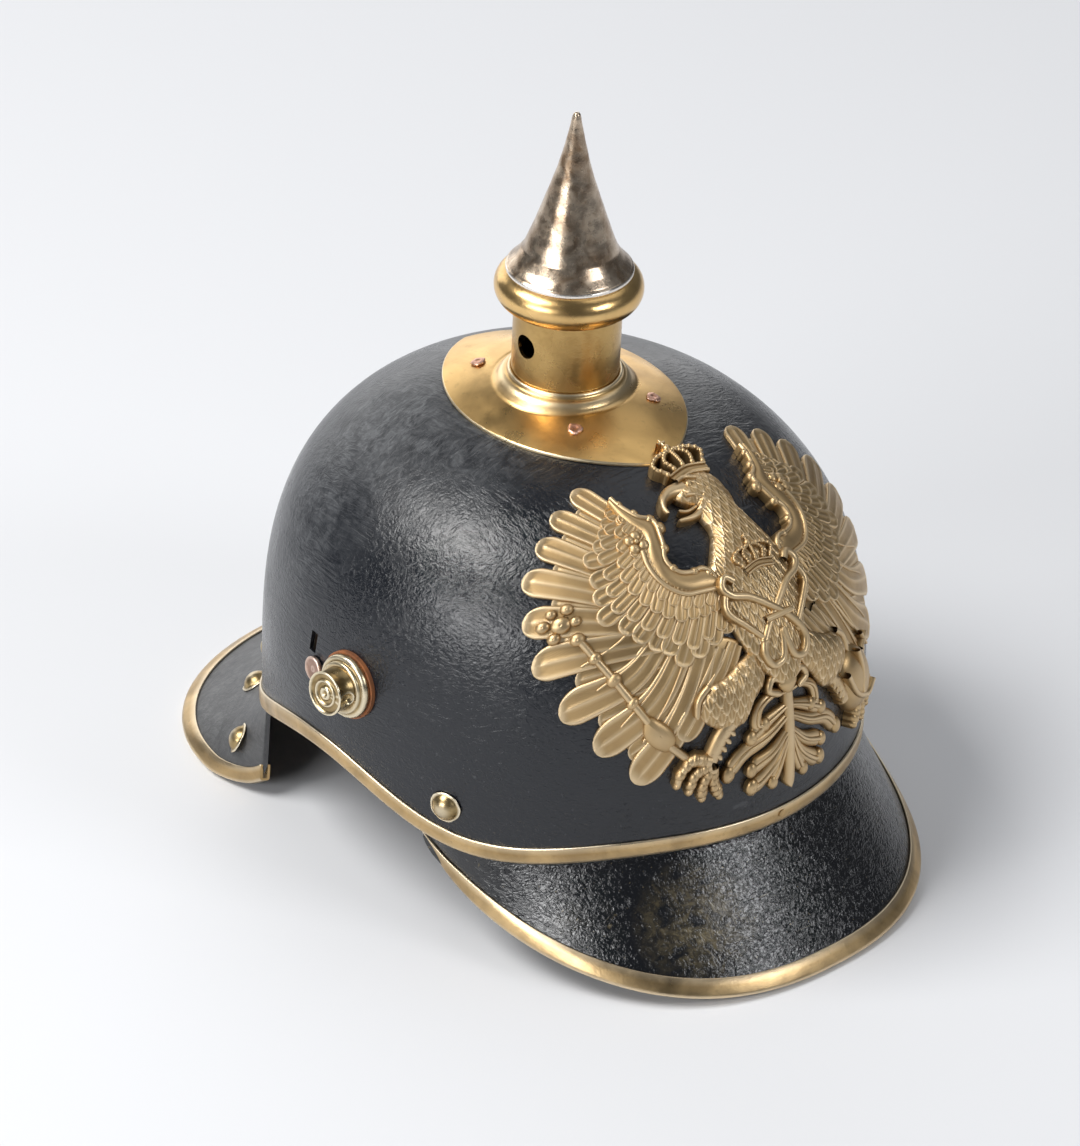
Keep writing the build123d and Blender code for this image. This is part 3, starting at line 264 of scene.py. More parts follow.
def effect(name, inputs, outputs, fill):
    """A node group built once: named inputs and outputs with their kinds, filled by a function
    that takes the inputs and gives a value for each output."""
    tree = bpy.data.node_groups.new(name, "ShaderNodeTree")
    for way, sockets in (("INPUT", inputs), ("OUTPUT", outputs)):
        for label, kind in sockets.items():
            tree.interface.new_socket(label, in_out=way, socket_type="NodeSocket" + kind)
    given = tree.nodes.new("NodeGroupInput").outputs
    results = tree.nodes.new("NodeGroupOutput").inputs
    for label, value in fill(Nodes(tree), given).items():
        tree.links.new(value, results[label])
    return tree


def dust(nodes, given):
    """Dust lies where matt patches, blotches and brushed strokes meet, and in specks and
    scratches; the lacquer is duller in the matt patches."""
    matt = nodes.math("MAXIMUM", nodes.ramp(nodes.noise(34, 4), 0.56, 0.72, 0.0, 0.14), given["Rubbed"])
    blotch = nodes.ramp(nodes.noise(190, 9, distortion=0.8, rough=0.65), 0.38, 0.60)
    brushed = nodes.ramp(given["Strokes"], 0.40, 0.58, 0.35, 1.0)
    specks = nodes.math("MULTIPLY", nodes.ramp(nodes.noise(820, 2), 0.70, 0.76), 0.5)
    scratch = nodes.ramp(nodes.noise(420, 2, (0.05, 1, 0.6), (0.4, 0.2, 0.9)), 0.70, 0.76, 0.0, 0.35)
    share = nodes.math("MULTIPLY", matt, nodes.math("MULTIPLY", blotch, brushed))
    share = nodes.math("MAXIMUM", share, nodes.math("MAXIMUM", specks, scratch))
    gloss = nodes.ramp(nodes.noise(60, 5), 0.3, 0.7, given["Gloss"], nodes.math("ADD", given["Gloss"], 0.12))
    return {
        "Colour": nodes.mix(share, given["Dark"], given["Dusty"]),
        "Roughness": nodes.blend(matt, gloss, given["Dull"]),
    }


LACQUER_DUST = effect(
    "lacquer_dust",
    {
        "Dark": "Color", "Dusty": "Color", "Gloss": "Float", "Dull": "Float", "Rubbed": "Float",
        "Strokes": "Float",
    },
    {"Colour": "Color", "Roughness": "Float"},
    dust,
)


def lacquer(name, dark, dusty, gloss, dull, patches, stroke, crinkle, coat):
    """Brushed black lacquer: crossing strokes of two directions over fine folds, under a clear
    coat that waves a little more. Patches are a place, a reach and a strength of rubbing."""
    nodes = Finish(name)
    field = nodes.ramp(nodes.noise(24, 3, distortion=0.6), 0.45, 0.55)
    one_way = nodes.noise(640, 3, (1, 0.14, 1), (0.3, 0.5, 0.4), 1.2)
    other_way = nodes.noise(560, 3, (0.16, 1, 1), (0.9, -0.4, 1.3), 1.2)
    strokes = nodes.blend(field, one_way, other_way)
    rubbed = 0.0
    for place, reach, strength in patches:
        share = nodes.math("MULTIPLY", nodes.near(place, reach, reach * 0.2), strength)
        rubbed = nodes.math("MAXIMUM", rubbed, share)
    look = nodes.use(LACQUER_DUST, {
        "Dark": dark, "Dusty": dusty, "Gloss": gloss, "Dull": dull, "Rubbed": rubbed, "Strokes": strokes,
    })
    folds = nodes.noise(560, 2, (1, 0.6, 1), (0.5, 0.3, 0.2), 2.2)
    under = nodes.bump(strokes, stroke, 1.0, nodes.bump(folds, crinkle))
    normal = nodes.bump(nodes.noise(1500, 2, (1, 0.15, 0.3), (0.2, 0.8, 0.1)), 0.000015, 0.6, under)
    waves = nodes.noise(95, 3, (1, 0.5, 1), (0.2, 0.3, 0.9), 0.8)
    nodes.put(nodes.shader.inputs["Coat Normal"], nodes.bump(waves, 0.0009 * coat, 1.0, under))
    return nodes.done(
        look["Colour"], look["Roughness"], normal,
        specular_ior_level=0.5, coat_weight=coat, coat_roughness=0.13,
    )


RUBBED = [
    ((-0.048, 0.018, 0.147), 0.055, 1.0), ((-0.042, -0.013, 0.150), 0.035, 0.8),
    ((-0.074, 0.022, 0.130), 0.040, 0.7), ((0.032, -0.037, 0.149), 0.040, 0.6),
    ((0.045, 0.040, 0.140), 0.060, 0.7),
]
SLOT_LOW, SLOT_HIGH, SLOT_TURNS, WALL_ROWS = 34.8, 42.2, (96, 264), 18
skull_lacquer = lacquer(
    "skull_lacquer", (0.0045, 0.006, 0.0095), (0.080, 0.084, 0.090), 0.18, 0.48, RUBBED, 0.00030,
    0.00010, 0.10
)
turns = np.linspace(0, 2 * np.pi, 360, endpoint=False)
low, _ = edge_at(turns)
angles = np.linspace(0.16, np.pi / 2, 70)
upper = HIGH * np.sin(angles) ** (2 / RISE_POWER)
heights = [low + (upper[0] - low) * s for s in np.linspace(0, 1, WALL_ROWS, endpoint=False)]
heights += [np.full_like(low, z) for z in upper]
heights = np.array(heights)
outer = skull_point(turns[None, :], heights)
inner = skull_point(turns[None, :], np.minimum(heights, HIGH), -WALL)
rounding = [skull_point(turns, low + 0.15, -0.15), skull_point(turns, low, -0.5 * WALL)]
shell = np.concatenate([outer[::-1], np.array(rounding), inner])
levels = np.append(np.full(WALL_ROWS, -1.0), upper)
slot_low, slot_high = np.searchsorted(levels, (SLOT_LOW, SLOT_HIGH))
last = len(levels) - 1
slots, walls = [], []
for middle in SLOT_TURNS:
    slots.append((last - slot_high, last - slot_low, middle - 1, middle + 1))
    slots.append((last + 3 + slot_low, last + 3 + slot_high, middle - 1, middle + 1))
    span = np.arange(slot_low, slot_high + 1)
    up, down = [(h, middle - 1) for h in span], [(h, middle + 1) for h in span[::-1]]
    h, k = np.array([*up, (slot_high, middle), *down, (slot_low, middle)]).T
    beyond = skull_point(np.radians(middle), 70.0) * (1.2, 1.2, 1.0)
    walls.append(block([outer[h, k], inner[h, k]], close_cols=True, centre=beyond))
bowl = block(shell, close_cols=True, holes=slots)
piece("skull_bowl", [bowl, *walls], skull_lacquer, ["skull"])


# Edge band
# A brass strip folded round the bowl's lower edge: 5 mm wide outside, with a lip turned under
# it, and joined at the brow by a small flush pin.
def stains(nodes, given):
    """Broad stains and small specks over a base colour, on smoother and rougher metal."""
    patch = nodes.ramp(nodes.noise(given["Scale"], 7, distortion=0.8), 0.38, 0.68)
    speck = nodes.ramp(nodes.noise(nodes.math("MULTIPLY", given["Scale"], 9), 4), 0.58, 0.72)
    tone = nodes.mix(nodes.math("MULTIPLY", patch, 0.85), given["Base"], given["Stain"])
    finish = nodes.noise(nodes.math("MULTIPLY", given["Scale"], 2), 5)
    return {
        "Colour": nodes.mix(nodes.math("MULTIPLY", speck, 0.45), tone, given["Stain"]),
        "Roughness": nodes.ramp(finish, 0.3, 0.7, given["Smooth"], given["Rough"]),
    }


def edge_wear(nodes, given):
    """A brighter colour where the piece is worn."""
    share = nodes.math("MULTIPLY", nodes.attribute("worn"), given["Amount"], True)
    return {"Colour": nodes.mix(share, given["Colour"], given["Bright"])}


def grain(nodes, given):
    """A fine grain over a broader one three times as deep."""
    broad = nodes.bump(nodes.noise(160, 3), nodes.math("MULTIPLY", given["Depth"], 3), 0.6)
    return {"Normal": nodes.bump(nodes.noise(1500, 3), given["Depth"], 0.7, broad)}


METAL_STAINS = effect(
    "metal_stains",
    {"Base": "Color", "Stain": "Color", "Scale": "Float", "Smooth": "Float", "Rough": "Float"},
    {"Colour": "Color", "Roughness": "Float"},
    stains,
)
EDGE_WEAR = effect(
    "edge_wear", {"Colour": "Color", "Bright": "Color", "Amount": "Float"}, {"Colour": "Color"}, edge_wear
)
METAL_GRAIN = effect("metal_grain", {"Depth": "Float"}, {"Normal": "Vector"}, grain)


def metal(name, base, stain, bright, smooth, rough, scale=45, metallic=1.0):
    """Aged metal: stains over the base colour, brighter where worn, with a grain 0.04 mm deep."""
    nodes = Finish(name)
    tones = {"Base": base, "Stain": stain, "Scale": scale, "Smooth": smooth, "Rough": rough}
    aged = nodes.use(METAL_STAINS, tones)
    worn = nodes.use(EDGE_WEAR, {"Colour": aged["Colour"], "Bright": bright, "Amount": 0.85})
    normal = nodes.use(METAL_GRAIN, {"Depth": 0.00004})["Normal"]
    return nodes.done(worn["Colour"], aged["Roughness"], normal, metallic=metallic)


def keep(node, material):
    """Gives a CAD node that stays in view its finish."""
    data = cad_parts[node].data
    data.materials.clear()
    data.materials.append(material)


band_brass = metal(
    "band_brass", (0.58, 0.40, 0.19), (0.30, 0.20, 0.09), (0.92, 0.80, 0.60), 0.27, 0.42, 60
)
BAND_WIDE, BAND_THICK, BAND_LIP = 5.0, 0.8, 0.9
_, slope = edge_at(turns)
tall = np.sqrt(1 + slope**2)
section = [
    (BAND_WIDE - 0.2, -0.02, 0.4), (BAND_WIDE, 0.15, 1.0), (BAND_WIDE - 0.1, 0.6, 1.0),
    (BAND_WIDE - 0.5, BAND_THICK, 0.35), (BAND_WIDE * 0.5, BAND_THICK + 0.04, 0.0),
    (0.4, BAND_THICK, 0.1), (-0.5, BAND_THICK - 0.15, 0.5), (-BAND_LIP, 0.3, 0.6),
    (-BAND_LIP, -WALL, 0.3), (-0.05, -WALL, 0.0), (-0.05, -0.02, 0.0),
]
rows = [skull_point(turns, low + rise * tall, out) for rise, out, _ in section]
wear = np.array([w for _, _, w in section])[:, None]
piece(
    "edge_band_strip", [block(np.array(rows), True, True, worn=wear)], band_brass,
    ["edge_band"],
)
keep("band_pin", band_brass)


# Visor and neck guard
# Two steel sheets lacquered black and riveted inside the bowl, each with a folded brass channel
# over its rim. A sheet is a row of upright sections square to the bowl's wall: a flange inside,
# a kink under the edge and a straight slope to the rim, whose plan is a power oval.
SHEET, FLANGE_GAP, KINK, FLANGE = 1.5, 0.15, 1.4, 16.0
TABLE = 47.4
TRIM_WIDE, TRIM_THICK = 5.6, 0.85


def table_height(y):
    """Height of the table under the leaning helmet at a place along Y."""
    return -TABLE - y * np.tan(TILT)


def foot(turn):
    """Foot of a section on the inner wall, its outward level direction and the edge's height."""
    a = plan_axis(turn)
    inset = WALL + FLANGE_GAP
    x = (HALF - inset) * np.sin(turn)
    y = -(HALF - inset) * a / HALF * np.cos(turn)
    n = np.stack([np.sin(turn) / HALF, -np.cos(turn) / a], -1)
    n /= np.linalg.norm(n, axis=-1, keepdims=True)
    return x, y, n, edge_height(y)


def rim_reach(turn, half, middle, reach, power):
    """Distance from the inner wall to the power oval, by halving."""
    x, y, n, _ = foot(turn)
    near, far = np.full_like(turn, -40.0), np.full_like(turn, 120.0)
    for _ in range(40):
        mid = (near + far) / 2
        u = np.abs(x + mid * n[..., 0]) / half
        v = np.abs(np.abs(y + mid * n[..., 1]) - middle) / (reach - middle)
        inside = u**power + v**power < 1
        near, far = np.where(inside, mid, near), np.where(inside, far, mid)
    return near


VISOR_HALF, VISOR_MIDDLE, VISOR_REACH, VISOR_CORNER = 82.8, 36.5, 141.2, -2.4
GUARD_HALF, GUARD_MIDDLE, GUARD_REACH, GUARD_START = 83.3, 70.0, 141.6, 124.0


def visor_rim(turn):
    """Reach and height of the visor's rim: it falls to the table with a power of the way there."""
    reach = rim_reach(turn, VISOR_HALF, VISOR_MIDDLE, VISOR_REACH, 2.4)
    _, y, n, _ = foot(turn)
    way = (-(y + reach * n[..., 1]) - VISOR_MIDDLE) / (VISOR_REACH - VISOR_MIDDLE)
    drop = table_height(-VISOR_REACH) - VISOR_CORNER
    return reach, VISOR_CORNER + drop * np.clip(way, 0, None) ** 0.30


def guard_rim(turn):
    """Reach and height of the guard's rim: on the table, with its front corners eased round."""
    reach = rim_reach(turn, GUARD_HALF, GUARD_MIDDLE, GUARD_REACH, 2.1)
    ease = np.clip((180 - np.abs(180 - np.degrees(turn)) - GUARD_START) / 9.0, 0, 1)
    reach = 1.2 + (reach - 1.2) * np.sqrt(np.clip(1 - (1 - ease) ** 2, 0, 1))
    _, y, n, _ = foot(turn)
    return reach, table_height(y + reach * n[..., 1]) + 6.0 * np.exp(-3 * ease)


def sections(turn, rim):
    """Frame of each section: foot, outward way, kink height, slope and its upward square."""
    x, y, n, edge = foot(turn)
    reach, low_rim = rim(turn)
    kink = edge - KINK
    length = np.hypot(reach, kink - low_rim)
    along = np.stack([reach / length, (low_rim - kink) / length], -1)
    square = np.stack([(kink - low_rim) / length, reach / length], -1)
    return x, y, n, reach, low_rim, kink, length, along, square


def place_section(x, y, n, out, z):
    """Section coordinates to points: out along the level way, z upright."""
    return np.stack([x + out * n[..., 0], y + out * n[..., 1], z], -1)


def sheet_rows(turn, rim, steps):
    """Rows of a sheet: up its outer face from rim to kink and flange, and back inside."""
    x, y, n, reach, _, kink, length, along, square = sections(turn, rim)
    down = np.linspace(0, 1, steps)
    rows = []
    for s in down[::-1]:
        rows.append(place_section(x, y, n, along[..., 0] * length * s, kink + along[..., 1] * length * s))
    rows.append(place_section(x, y, n, 0 * reach, kink + FLANGE))
    rows.append(place_section(x, y, n, 0 * reach - SHEET, kink + FLANGE))
    for s in down:
        out = np.maximum(along[..., 0] * length * s - square[..., 0] * SHEET, -SHEET)
        z = kink + along[..., 1] * length * s - square[..., 1] * SHEET
        rows.append(place_section(x, y, n, out if s else 0 * out - SHEET, z))
    return np.array(rows), np.concatenate([down[::-1], [0, 0], down])[:, None]


def trim_rows(turn, rim):
    """Rows of the brass channel round a rim: a U with rounded corners."""
    x, y, n, reach, low_rim, _, length, along, square = sections(turn, rim)
    wide = np.minimum(TRIM_WIDE, length - TRIM_THICK)
    t, b = TRIM_THICK, -SHEET - TRIM_THICK
    shape = [
        (-1.0, 0.0, 0.15, 0.9), (-1.0, 0.0, t - 0.15, 1.0), (-0.93, 0.0, t, 0.5),
        (-0.5, 0.0, t + 0.08, 0.05), (0.0, -0.4, t, 0.1), (0.0, 0.45, t - 0.12, 0.55),
        (0.0, t, t - 0.55, 0.8), (0.0, t, b + 0.55, 0.6), (0.0, 0.45, b + 0.12, 0.4),
        (0.0, -0.4, b, 0.1), (-1.0, 0.0, b, 0.1), (-1.0, 0.0, -SHEET, 0.0), (0.0, 0.05, -SHEET, 0.0),
        (0.0, 0.05, 0.0, 0.0),
    ]
    rows = []
    for share, run, rise, _ in shape:
        run = share * wide + run
        out = reach + along[..., 0] * run + square[..., 0] * rise
        z = low_rim + along[..., 1] * run + square[..., 1] * rise
        rows.append(place_section(x, y, n, out, z))
    return np.array(rows), np.array([w for *_, w in shape])[:, None]


def end_caps(rows):
    """Lids of a sheet's or channel's open ends: each end section drawn to its middle."""
    lids = []
    for column in (0, -1):
        ring = rows[:, column]
        lids.append(block(np.stack([ring, ring * 0 + ring.mean(0)]), close_cols=True,
                          centre=rows[:, 1 if column == 0 else -2].mean(0)))
    return lids


def edged_sheet(names, turn, rim, steps, finish, nodes):
    """A lacquered sheet and the brass channel over its rim, as two pieces with lids at their ends."""
    for name, (rows, wear), look, slot, node in zip(
        names, (sheet_rows(turn, rim, steps), trim_rows(turn, rim)),
        (finish, band_brass), ("visor_lacquer", "band_brass"), nodes,
    ):
        piece(name, [block(rows, True, worn=wear), *end_caps(rows)], look, [node])


visor_lacquer = lacquer(
    "visor_lacquer", (0.003, 0.0035, 0.005), (0.17, 0.135, 0.07), 0.10, 0.28,
    [((-0.038, -0.119, 0.022), 0.022, 0.7)], 0.00010, 0.00022, 0.55,
)
guard_lacquer = lacquer(
    "guard_lacquer", (0.048, 0.049, 0.051), (0.15, 0.15, 0.152), 0.36, 0.6,
    [((-0.06, 0.115, 0.03), 0.09, 0.6), ((0.06, 0.115, 0.03), 0.09, 0.6)], 0.00012, 0.00012, 0.1,
)
spread = np.sin(np.linspace(-1, 1, 181) * np.pi / 2)
edged_sheet(
    ("visor_peak", "visor_channel"), np.radians(69.0) * spread, visor_rim, 26, visor_lacquer,
    ("visor", "visor_trim"),
)
edged_sheet(
    ("guard_plate", "guard_channel"), np.pi - np.radians(56.0) * spread, guard_rim, 22, guard_lacquer,
    ("neck_guard", "neck_guard_trim"),
)


# Crown plate
# A leaf of brass sheet 1 mm thick on top of the bowl, drawn up to a flared collar with a thin
# lip round the neck. Rings run from the leaf's outline of two arcs to the collar.
PLATE_LONG, PLATE_WIDE, PLATE_RIM, PLATE_RISE, PLATE_DRAW = 100.0, 70.0, 103.6, 7.4, 1.25
NECK, COLLAR, COLLAR_TOP = 17.35, 23.5, 113.5
CAP = (PLATE_WIDE**2 / 4 + PLATE_RISE**2) / (2 * PLATE_RISE)


def plate_top(x, y):
    """Height of the plate: a low cap of a sphere, drawn out along Y."""
    return PLATE_RIM + PLATE_RISE - CAP + np.sqrt(CAP**2 - x**2 - (y / PLATE_DRAW) ** 2)


def leaf_radius(angle):
    """Distance from the centre to the leaf's outline: the nearer of two big circles."""
    half_long, half_wide = PLATE_LONG / 2, PLATE_WIDE / 2
    big = (half_long**2 + half_wide**2) / (2 * half_wide)
    off = big - half_wide
    c = np.abs(np.cos(angle))
    return -off * c + np.sqrt(off**2 * c**2 + big**2 - off**2)


crown_brass = metal(
    "crown_brass", (0.78, 0.51, 0.20), (0.44, 0.27, 0.10), (0.96, 0.84, 0.60), 0.25, 0.40, 34
)
angle = np.linspace(0, 2 * np.pi, 240, endpoint=False)
outline = leaf_radius(angle)
rows, wear = [], []
for s, drop, w in ((1.0, 1.0, 0.2), (1.0, 0.6, 0.9), (1.0, 0.18, 1.0), (0.994, 0.0, 0.5)):
    r = outline * s
    x, y = r * np.cos(angle), r * np.sin(angle)
    rows.append(np.stack([x, y, plate_top(x, y) - drop], -1))
    wear.append(w)
for s in np.linspace(0.98, 0, 24):
    r = COLLAR + (outline - COLLAR) * s
    x, y = r * np.cos(angle), r * np.sin(angle)
    dent = 0.12 * np.sin(5 * angle + 3 * s) * np.sin(np.pi * s)
    rows.append(np.stack([x, y, plate_top(x, y) + dent], -1))
    wear.append(0.0)
base = plate_top(COLLAR, 0)
for r, z, w in (
    (22.6, base + 0.9, 0.1), (21.6, base + 2.3, 0.3), (20.6, base + 3.4, 0.6), (19.7, base + 3.95, 0.4),
    (18.9, base + 4.05, 0.0), (18.5, COLLAR_TOP - 0.8, 0.3), (18.35, COLLAR_TOP - 0.1, 1.0),
    (17.9, COLLAR_TOP, 1.0), (NECK + 0.06, COLLAR_TOP - 0.1, 0.2), (NECK + 0.06, base - 1.0, 0.0),
):
    rows.append(np.stack([r * np.cos(angle), r * np.sin(angle), z + 0 * angle], -1))
    wear.append(w)
piece(
    "crown_leaf", [block(rows, close_cols=True, centre=(0, 0, 80), worn=np.array(wear)[:, None])],
    crown_brass, ["crown_plate"],
)


# Neck, bead ring and spike
# A brass tube, a turned brass ring on its top and a flared steel cone, which screws into the neck
# on a steel stem. Turned forms are profiles of radius, height and wear about the spike's axis.
def lathe(profile, around=160, closed=False, dents=0.0, at=((0, 0, 0), (0, 0, 1)), ragged=0.0):
    """Rows of a turned form about a place and axis: profile points are radius, height and wear.
    Ragged bends the fully worn rows in and out, as a torn skirt is."""
    profile = np.array(profile, float)
    spin = np.linspace(0, 2 * np.pi, around, endpoint=False)
    r, z, w = (profile[:, k][:, None] for k in range(3))
    torn = np.sin(3 * spin + 0.6) + 0.7 * np.sin(5 * spin + 2.0) + 0.5 * np.sin(9 * spin)
    r = r + dents * np.sin(3 * spin + z * 0.35) * np.sin(z * 0.6) + ragged * torn * (w == 1)
    z = z + 0.35 * ragged * np.sin(4 * spin) * (w == 1)
    origin, axis = (np.asarray(v, float) for v in at)
    level = np.cross((0, 0, 1), axis) if abs(axis[2]) < 0.99 else np.array([1.0, 0, 0])
    level /= np.linalg.norm(level)
    square = np.cross(axis, level)
    grid = (origin + level * (r * np.cos(spin))[..., None] + square * (r * np.sin(spin))[..., None]
            + axis * z[..., None])
    return block(grid, closed, True, worn=w + 0 * spin)


neck_brass = metal(
    "neck_brass", (0.64, 0.43, 0.17), (0.34, 0.21, 0.075), (0.92, 0.78, 0.50), 0.20, 0.34, 32
)
keep("spike_neck", neck_brass)

RING_Z, RING_R, BEAD, RING_BORE = 143.1, 17.8, 6.0, 10.65
RING_FOOT, RING_SEAT, RING_TOP = 137.4, 146.2, 148.9
ring_brass = metal(
    "ring_brass", (0.86, 0.58, 0.25), (0.54, 0.35, 0.14), (0.95, 0.80, 0.54), 0.20, 0.34, 28
)
arc = np.linspace(-0.42 * np.pi, 0.42 * np.pi, 28)
bead = [(RING_R + BEAD * np.cos(a), RING_Z + BEAD * np.sin(a), 0.0) for a in arc]
land = [(RING_R + 0.6, RING_TOP + 0.05, 0.3), (RING_BORE, RING_TOP, 0.1)]
inside = [(RING_BORE, RING_SEAT, 0), (NECK + 0.05, RING_SEAT, 0)]
ring = lathe([(NECK + 0.05, RING_FOOT, 0), *bead, *land, *inside], closed=True)
piece("bead_ring_turned", [ring], ring_brass, ["bead_ring"])

SPIKE_LOW, SPIKE_TALL, SOCKET, HOLLOW = 149.2, 54.3, 5.06, 16.3
spike_steel = metal(
    "spike_steel", (0.68, 0.56, 0.43), (0.24, 0.14, 0.07), (0.9, 0.86, 0.80), 0.18, 0.34, 150
)
shares = np.array([
    (0.000, 20.4), (0.015, 20.35), (0.026, 19.8), (0.075, 17.34), (0.13, 15.2), (0.24, 12.85),
    (0.36, 10.55), (0.50, 7.95), (0.64, 5.5), (0.78, 3.55), (0.90, 2.1), (0.965, 1.45), (0.985, 1.2),
    (0.997, 0.7), (1.0, 0.01),
])
fine = [np.linspace(a, b, 8, endpoint=False) for a, b in zip(shares[:-1, 0], shares[1:, 0])]
fine = np.append(np.concatenate(fine), 1.0)
radius = np.interp(fine, shares[:, 0], shares[:, 1])
for _ in range(3):
    radius[2:-3] = (radius[1:-4] + 2 * radius[2:-3] + radius[3:-2]) / 4
profile = [(SOCKET, 6, 0), (SOCKET, 1, 0), (HOLLOW, 1, 0), (HOLLOW, 0, 0)]
profile += [(r, s * SPIKE_TALL, 1.0 if s < 0.02 else 0.0) for s, r in zip(fine, radius)]
cone = lathe([(r, SPIKE_LOW + z, w) for r, z, w in profile], dents=0.05)
piece("spike_cone", [cone], spike_steel, ["spike"], body="cone")
dull_steel = metal("inner_steel", (0.30, 0.29, 0.27), (0.10, 0.09, 0.08), (0.6, 0.6, 0.6), 0.3, 0.5)
keep("spike_stem", dull_steel)


# Dome rivets
# Brass rivets that hold the visor and the guard: domes with thin torn skirts, seated on the
# lacquer and upset inside over round burrs. The threaded bush in the neck has the same brass.
rivet_brass = metal(
    "rivet_brass", (0.46, 0.34, 0.17), (0.20, 0.14, 0.06), (0.98, 0.88, 0.68), 0.24, 0.4, 130
)
SKULL_GRIP = WALL + FLANGE_GAP + SHEET + 0.25 + 0.21
GUARD_GRIP = 2.0


def seat(turn, z, lift=0.25):
    """Place and outward axis of a fitting on the bowl, at a turn in degrees and a height."""
    p = skull_point(np.radians(turn), z)
    return p + skull_normal(p) * lift, skull_normal(p)


def dome(at, grip, tear):
    """A rivet at a place and axis: dome, torn skirt and a shank that reaches past its grip."""
    profile = [
        (0.01, 3.36, 0.5), (1.0, 3.3, 0.45), (1.9, 3.0, 0.3), (2.6, 2.62, 0.1), (3.2, 2.2, 0),
        (3.75, 1.7, 0), (4.2, 1.1, 0), (4.45, 0.68, 0), (4.7, 0.52, 0.3), (5.15, 0.46, 1),
        (5.4, 0.28, 1), (5.25, 0.02, 0.2), (1.4, 0.0, 0), (1.4, -grip - 1.0, 0), (0.01, -grip - 1.0, 0),
    ]
    return lathe(profile, around=72, at=at, ragged=tear)


for name, node, place, tears in (
    ("visor_domes", "visor_rivets", (64, 5.9), (0.10, 0.12)),
    ("rear_domes", "rear_rivets", (143, -12.4), (0.11, 0.09)),
):
    domes = [
        dome(seat(place[0] * side, place[1]), SKULL_GRIP, tear) for side, tear in zip((1, -1), tears)
    ]
    piece(name, domes, rivet_brass, [node])
guard_domes = []
for turn, share in ((131, 0.55), (147, 0.25), (229, 0.55), (213, 0.25)):
    x, y, n, reach, low_rim, kink, _, _, square = sections(np.radians([turn]), guard_rim)
    place = place_section(x, y, n, reach * share, kink + (low_rim - kink) * share)[0]
    axis = np.array([n[0, 0] * square[0, 0], n[0, 1] * square[0, 0], square[0, 1]])
    guard_domes.append(dome((place + axis * 0.25, axis), GUARD_GRIP, 0.12))
piece("guard_domes", guard_domes, rivet_brass, ["guard_rivets"])
for node in ("visor_burrs", "rear_burrs", "guard_burrs", "neck_bush"):
    keep(node, rivet_brass)


# Copper rivets of the crown plate
# Four copper rivets through plate and bowl, with low heads hammered to uneven hexagons.
copper = metal(
    "worn_copper", (0.62, 0.30, 0.19), (0.30, 0.13, 0.08), (0.90, 0.62, 0.50), 0.32, 0.5, 200
)
profile = [
    (0.01, 0.5, 0.3), (0.7, 0.52, 0.1), (1.1, 0.66, 0.5), (1.9, 0.6, 0.4), (2.25, 0.42, 1),
    (2.4, 0.02, 1), (1.4, 0, 0), (1.4, -7, 0), (0.01, -7, 0),
]
heads = []
for x, y in ((16.4, -24.3), (-16.4, -24.3), (14.0, 26.3), (-14.0, 26.3)):
    fall_x = plate_top(x - 0.1, y) - plate_top(x + 0.1, y)
    fall_y = plate_top(x, y - 0.1) - plate_top(x, y + 0.1)
    axis = np.array([fall_x, fall_y, 0.2])
    at = (x, y, plate_top(x, y) + 0.25), axis / np.linalg.norm(axis)
    heads.append(lathe(profile, around=48, at=at, ragged=0.16))
piece("crown_rivet_heads", heads, copper, ["plate_rivets"])


# Strap posts and studs
# Turned brass posts for the chin strap's eyes, screwed through a rusty washer and the bowl into
# nuts: a base with a rounded flange and a step, and a waisted drum whose face has a rim, a ring
# and a nub and whose side has a key slot. Beside each is a dished copper stud with a torn edge.
post_brass = metal(
    "post_brass", (0.46, 0.34, 0.17), (0.19, 0.13, 0.055), (0.96, 0.86, 0.64), 0.22, 0.38, 110
)
base_profile = [
    (0.01, -4.6, 0), (2.5, -4.6, 0), (2.5, 0.9, 0), (10.1, 0.95, 0), (10.45, 1.25, 0.3), (10.5, 1.8, 0.2),
    (10.4, 2.5, 0.6), (10.0, 3.05, 0.9), (9.4, 3.28, 0.6), (8.85, 3.3, 0), (8.6, 3.5, 0), (8.58, 4.0, 0.5),
    (8.3, 4.4, 0.7), (7.5, 4.5, 0.2), (0.01, 4.5, 0),
]
barrel = [(7.25 - 0.42 * np.sin(np.pi * s), 4.55 + 5.7 * s, 0.0) for s in np.linspace(0, 1, 30)]
face = [
    (7.3, 10.45, 0.8), (7.2, 10.8, 0.95), (6.85, 10.9, 0.9), (6.5, 10.72, 0.5), (6.3, 10.2, 0),
    (6.0, 10.1, 0), (4.8, 10.1, 0), (4.6, 10.3, 0.1), (4.45, 10.75, 0.6), (4.1, 10.88, 0.9),
    (3.75, 10.7, 0.5), (3.55, 10.2, 0), (3.3, 10.1, 0), (2.5, 10.1, 0), (2.25, 10.35, 0.1),
    (2.0, 10.75, 0.7), (1.5, 10.88, 0.9), (0.95, 10.6, 0.5), (0.6, 10.2, 0), (0.01, 10.15, 0),
]
stud_profile = [
    (0.01, -1.4, 0), (1.4, -1.4, 0), (1.4, 0.02, 0), (3.9, 0.02, 0.2), (4.1, 0.4, 0.5), (4.08, 1.2, 1),
    (3.85, 1.58, 1), (3.4, 1.5, 0.4), (3.0, 1.2, 0), (1.3, 1.08, 0), (0.9, 1.3, 0.6), (0.5, 1.25, 0.4),
    (0.01, 1.0, 0),
]
SLOT_MIDDLE, SLOT_SINK, DRUM = 7.7, 1.3, 7.3
bases, drums, studs = [], [], []
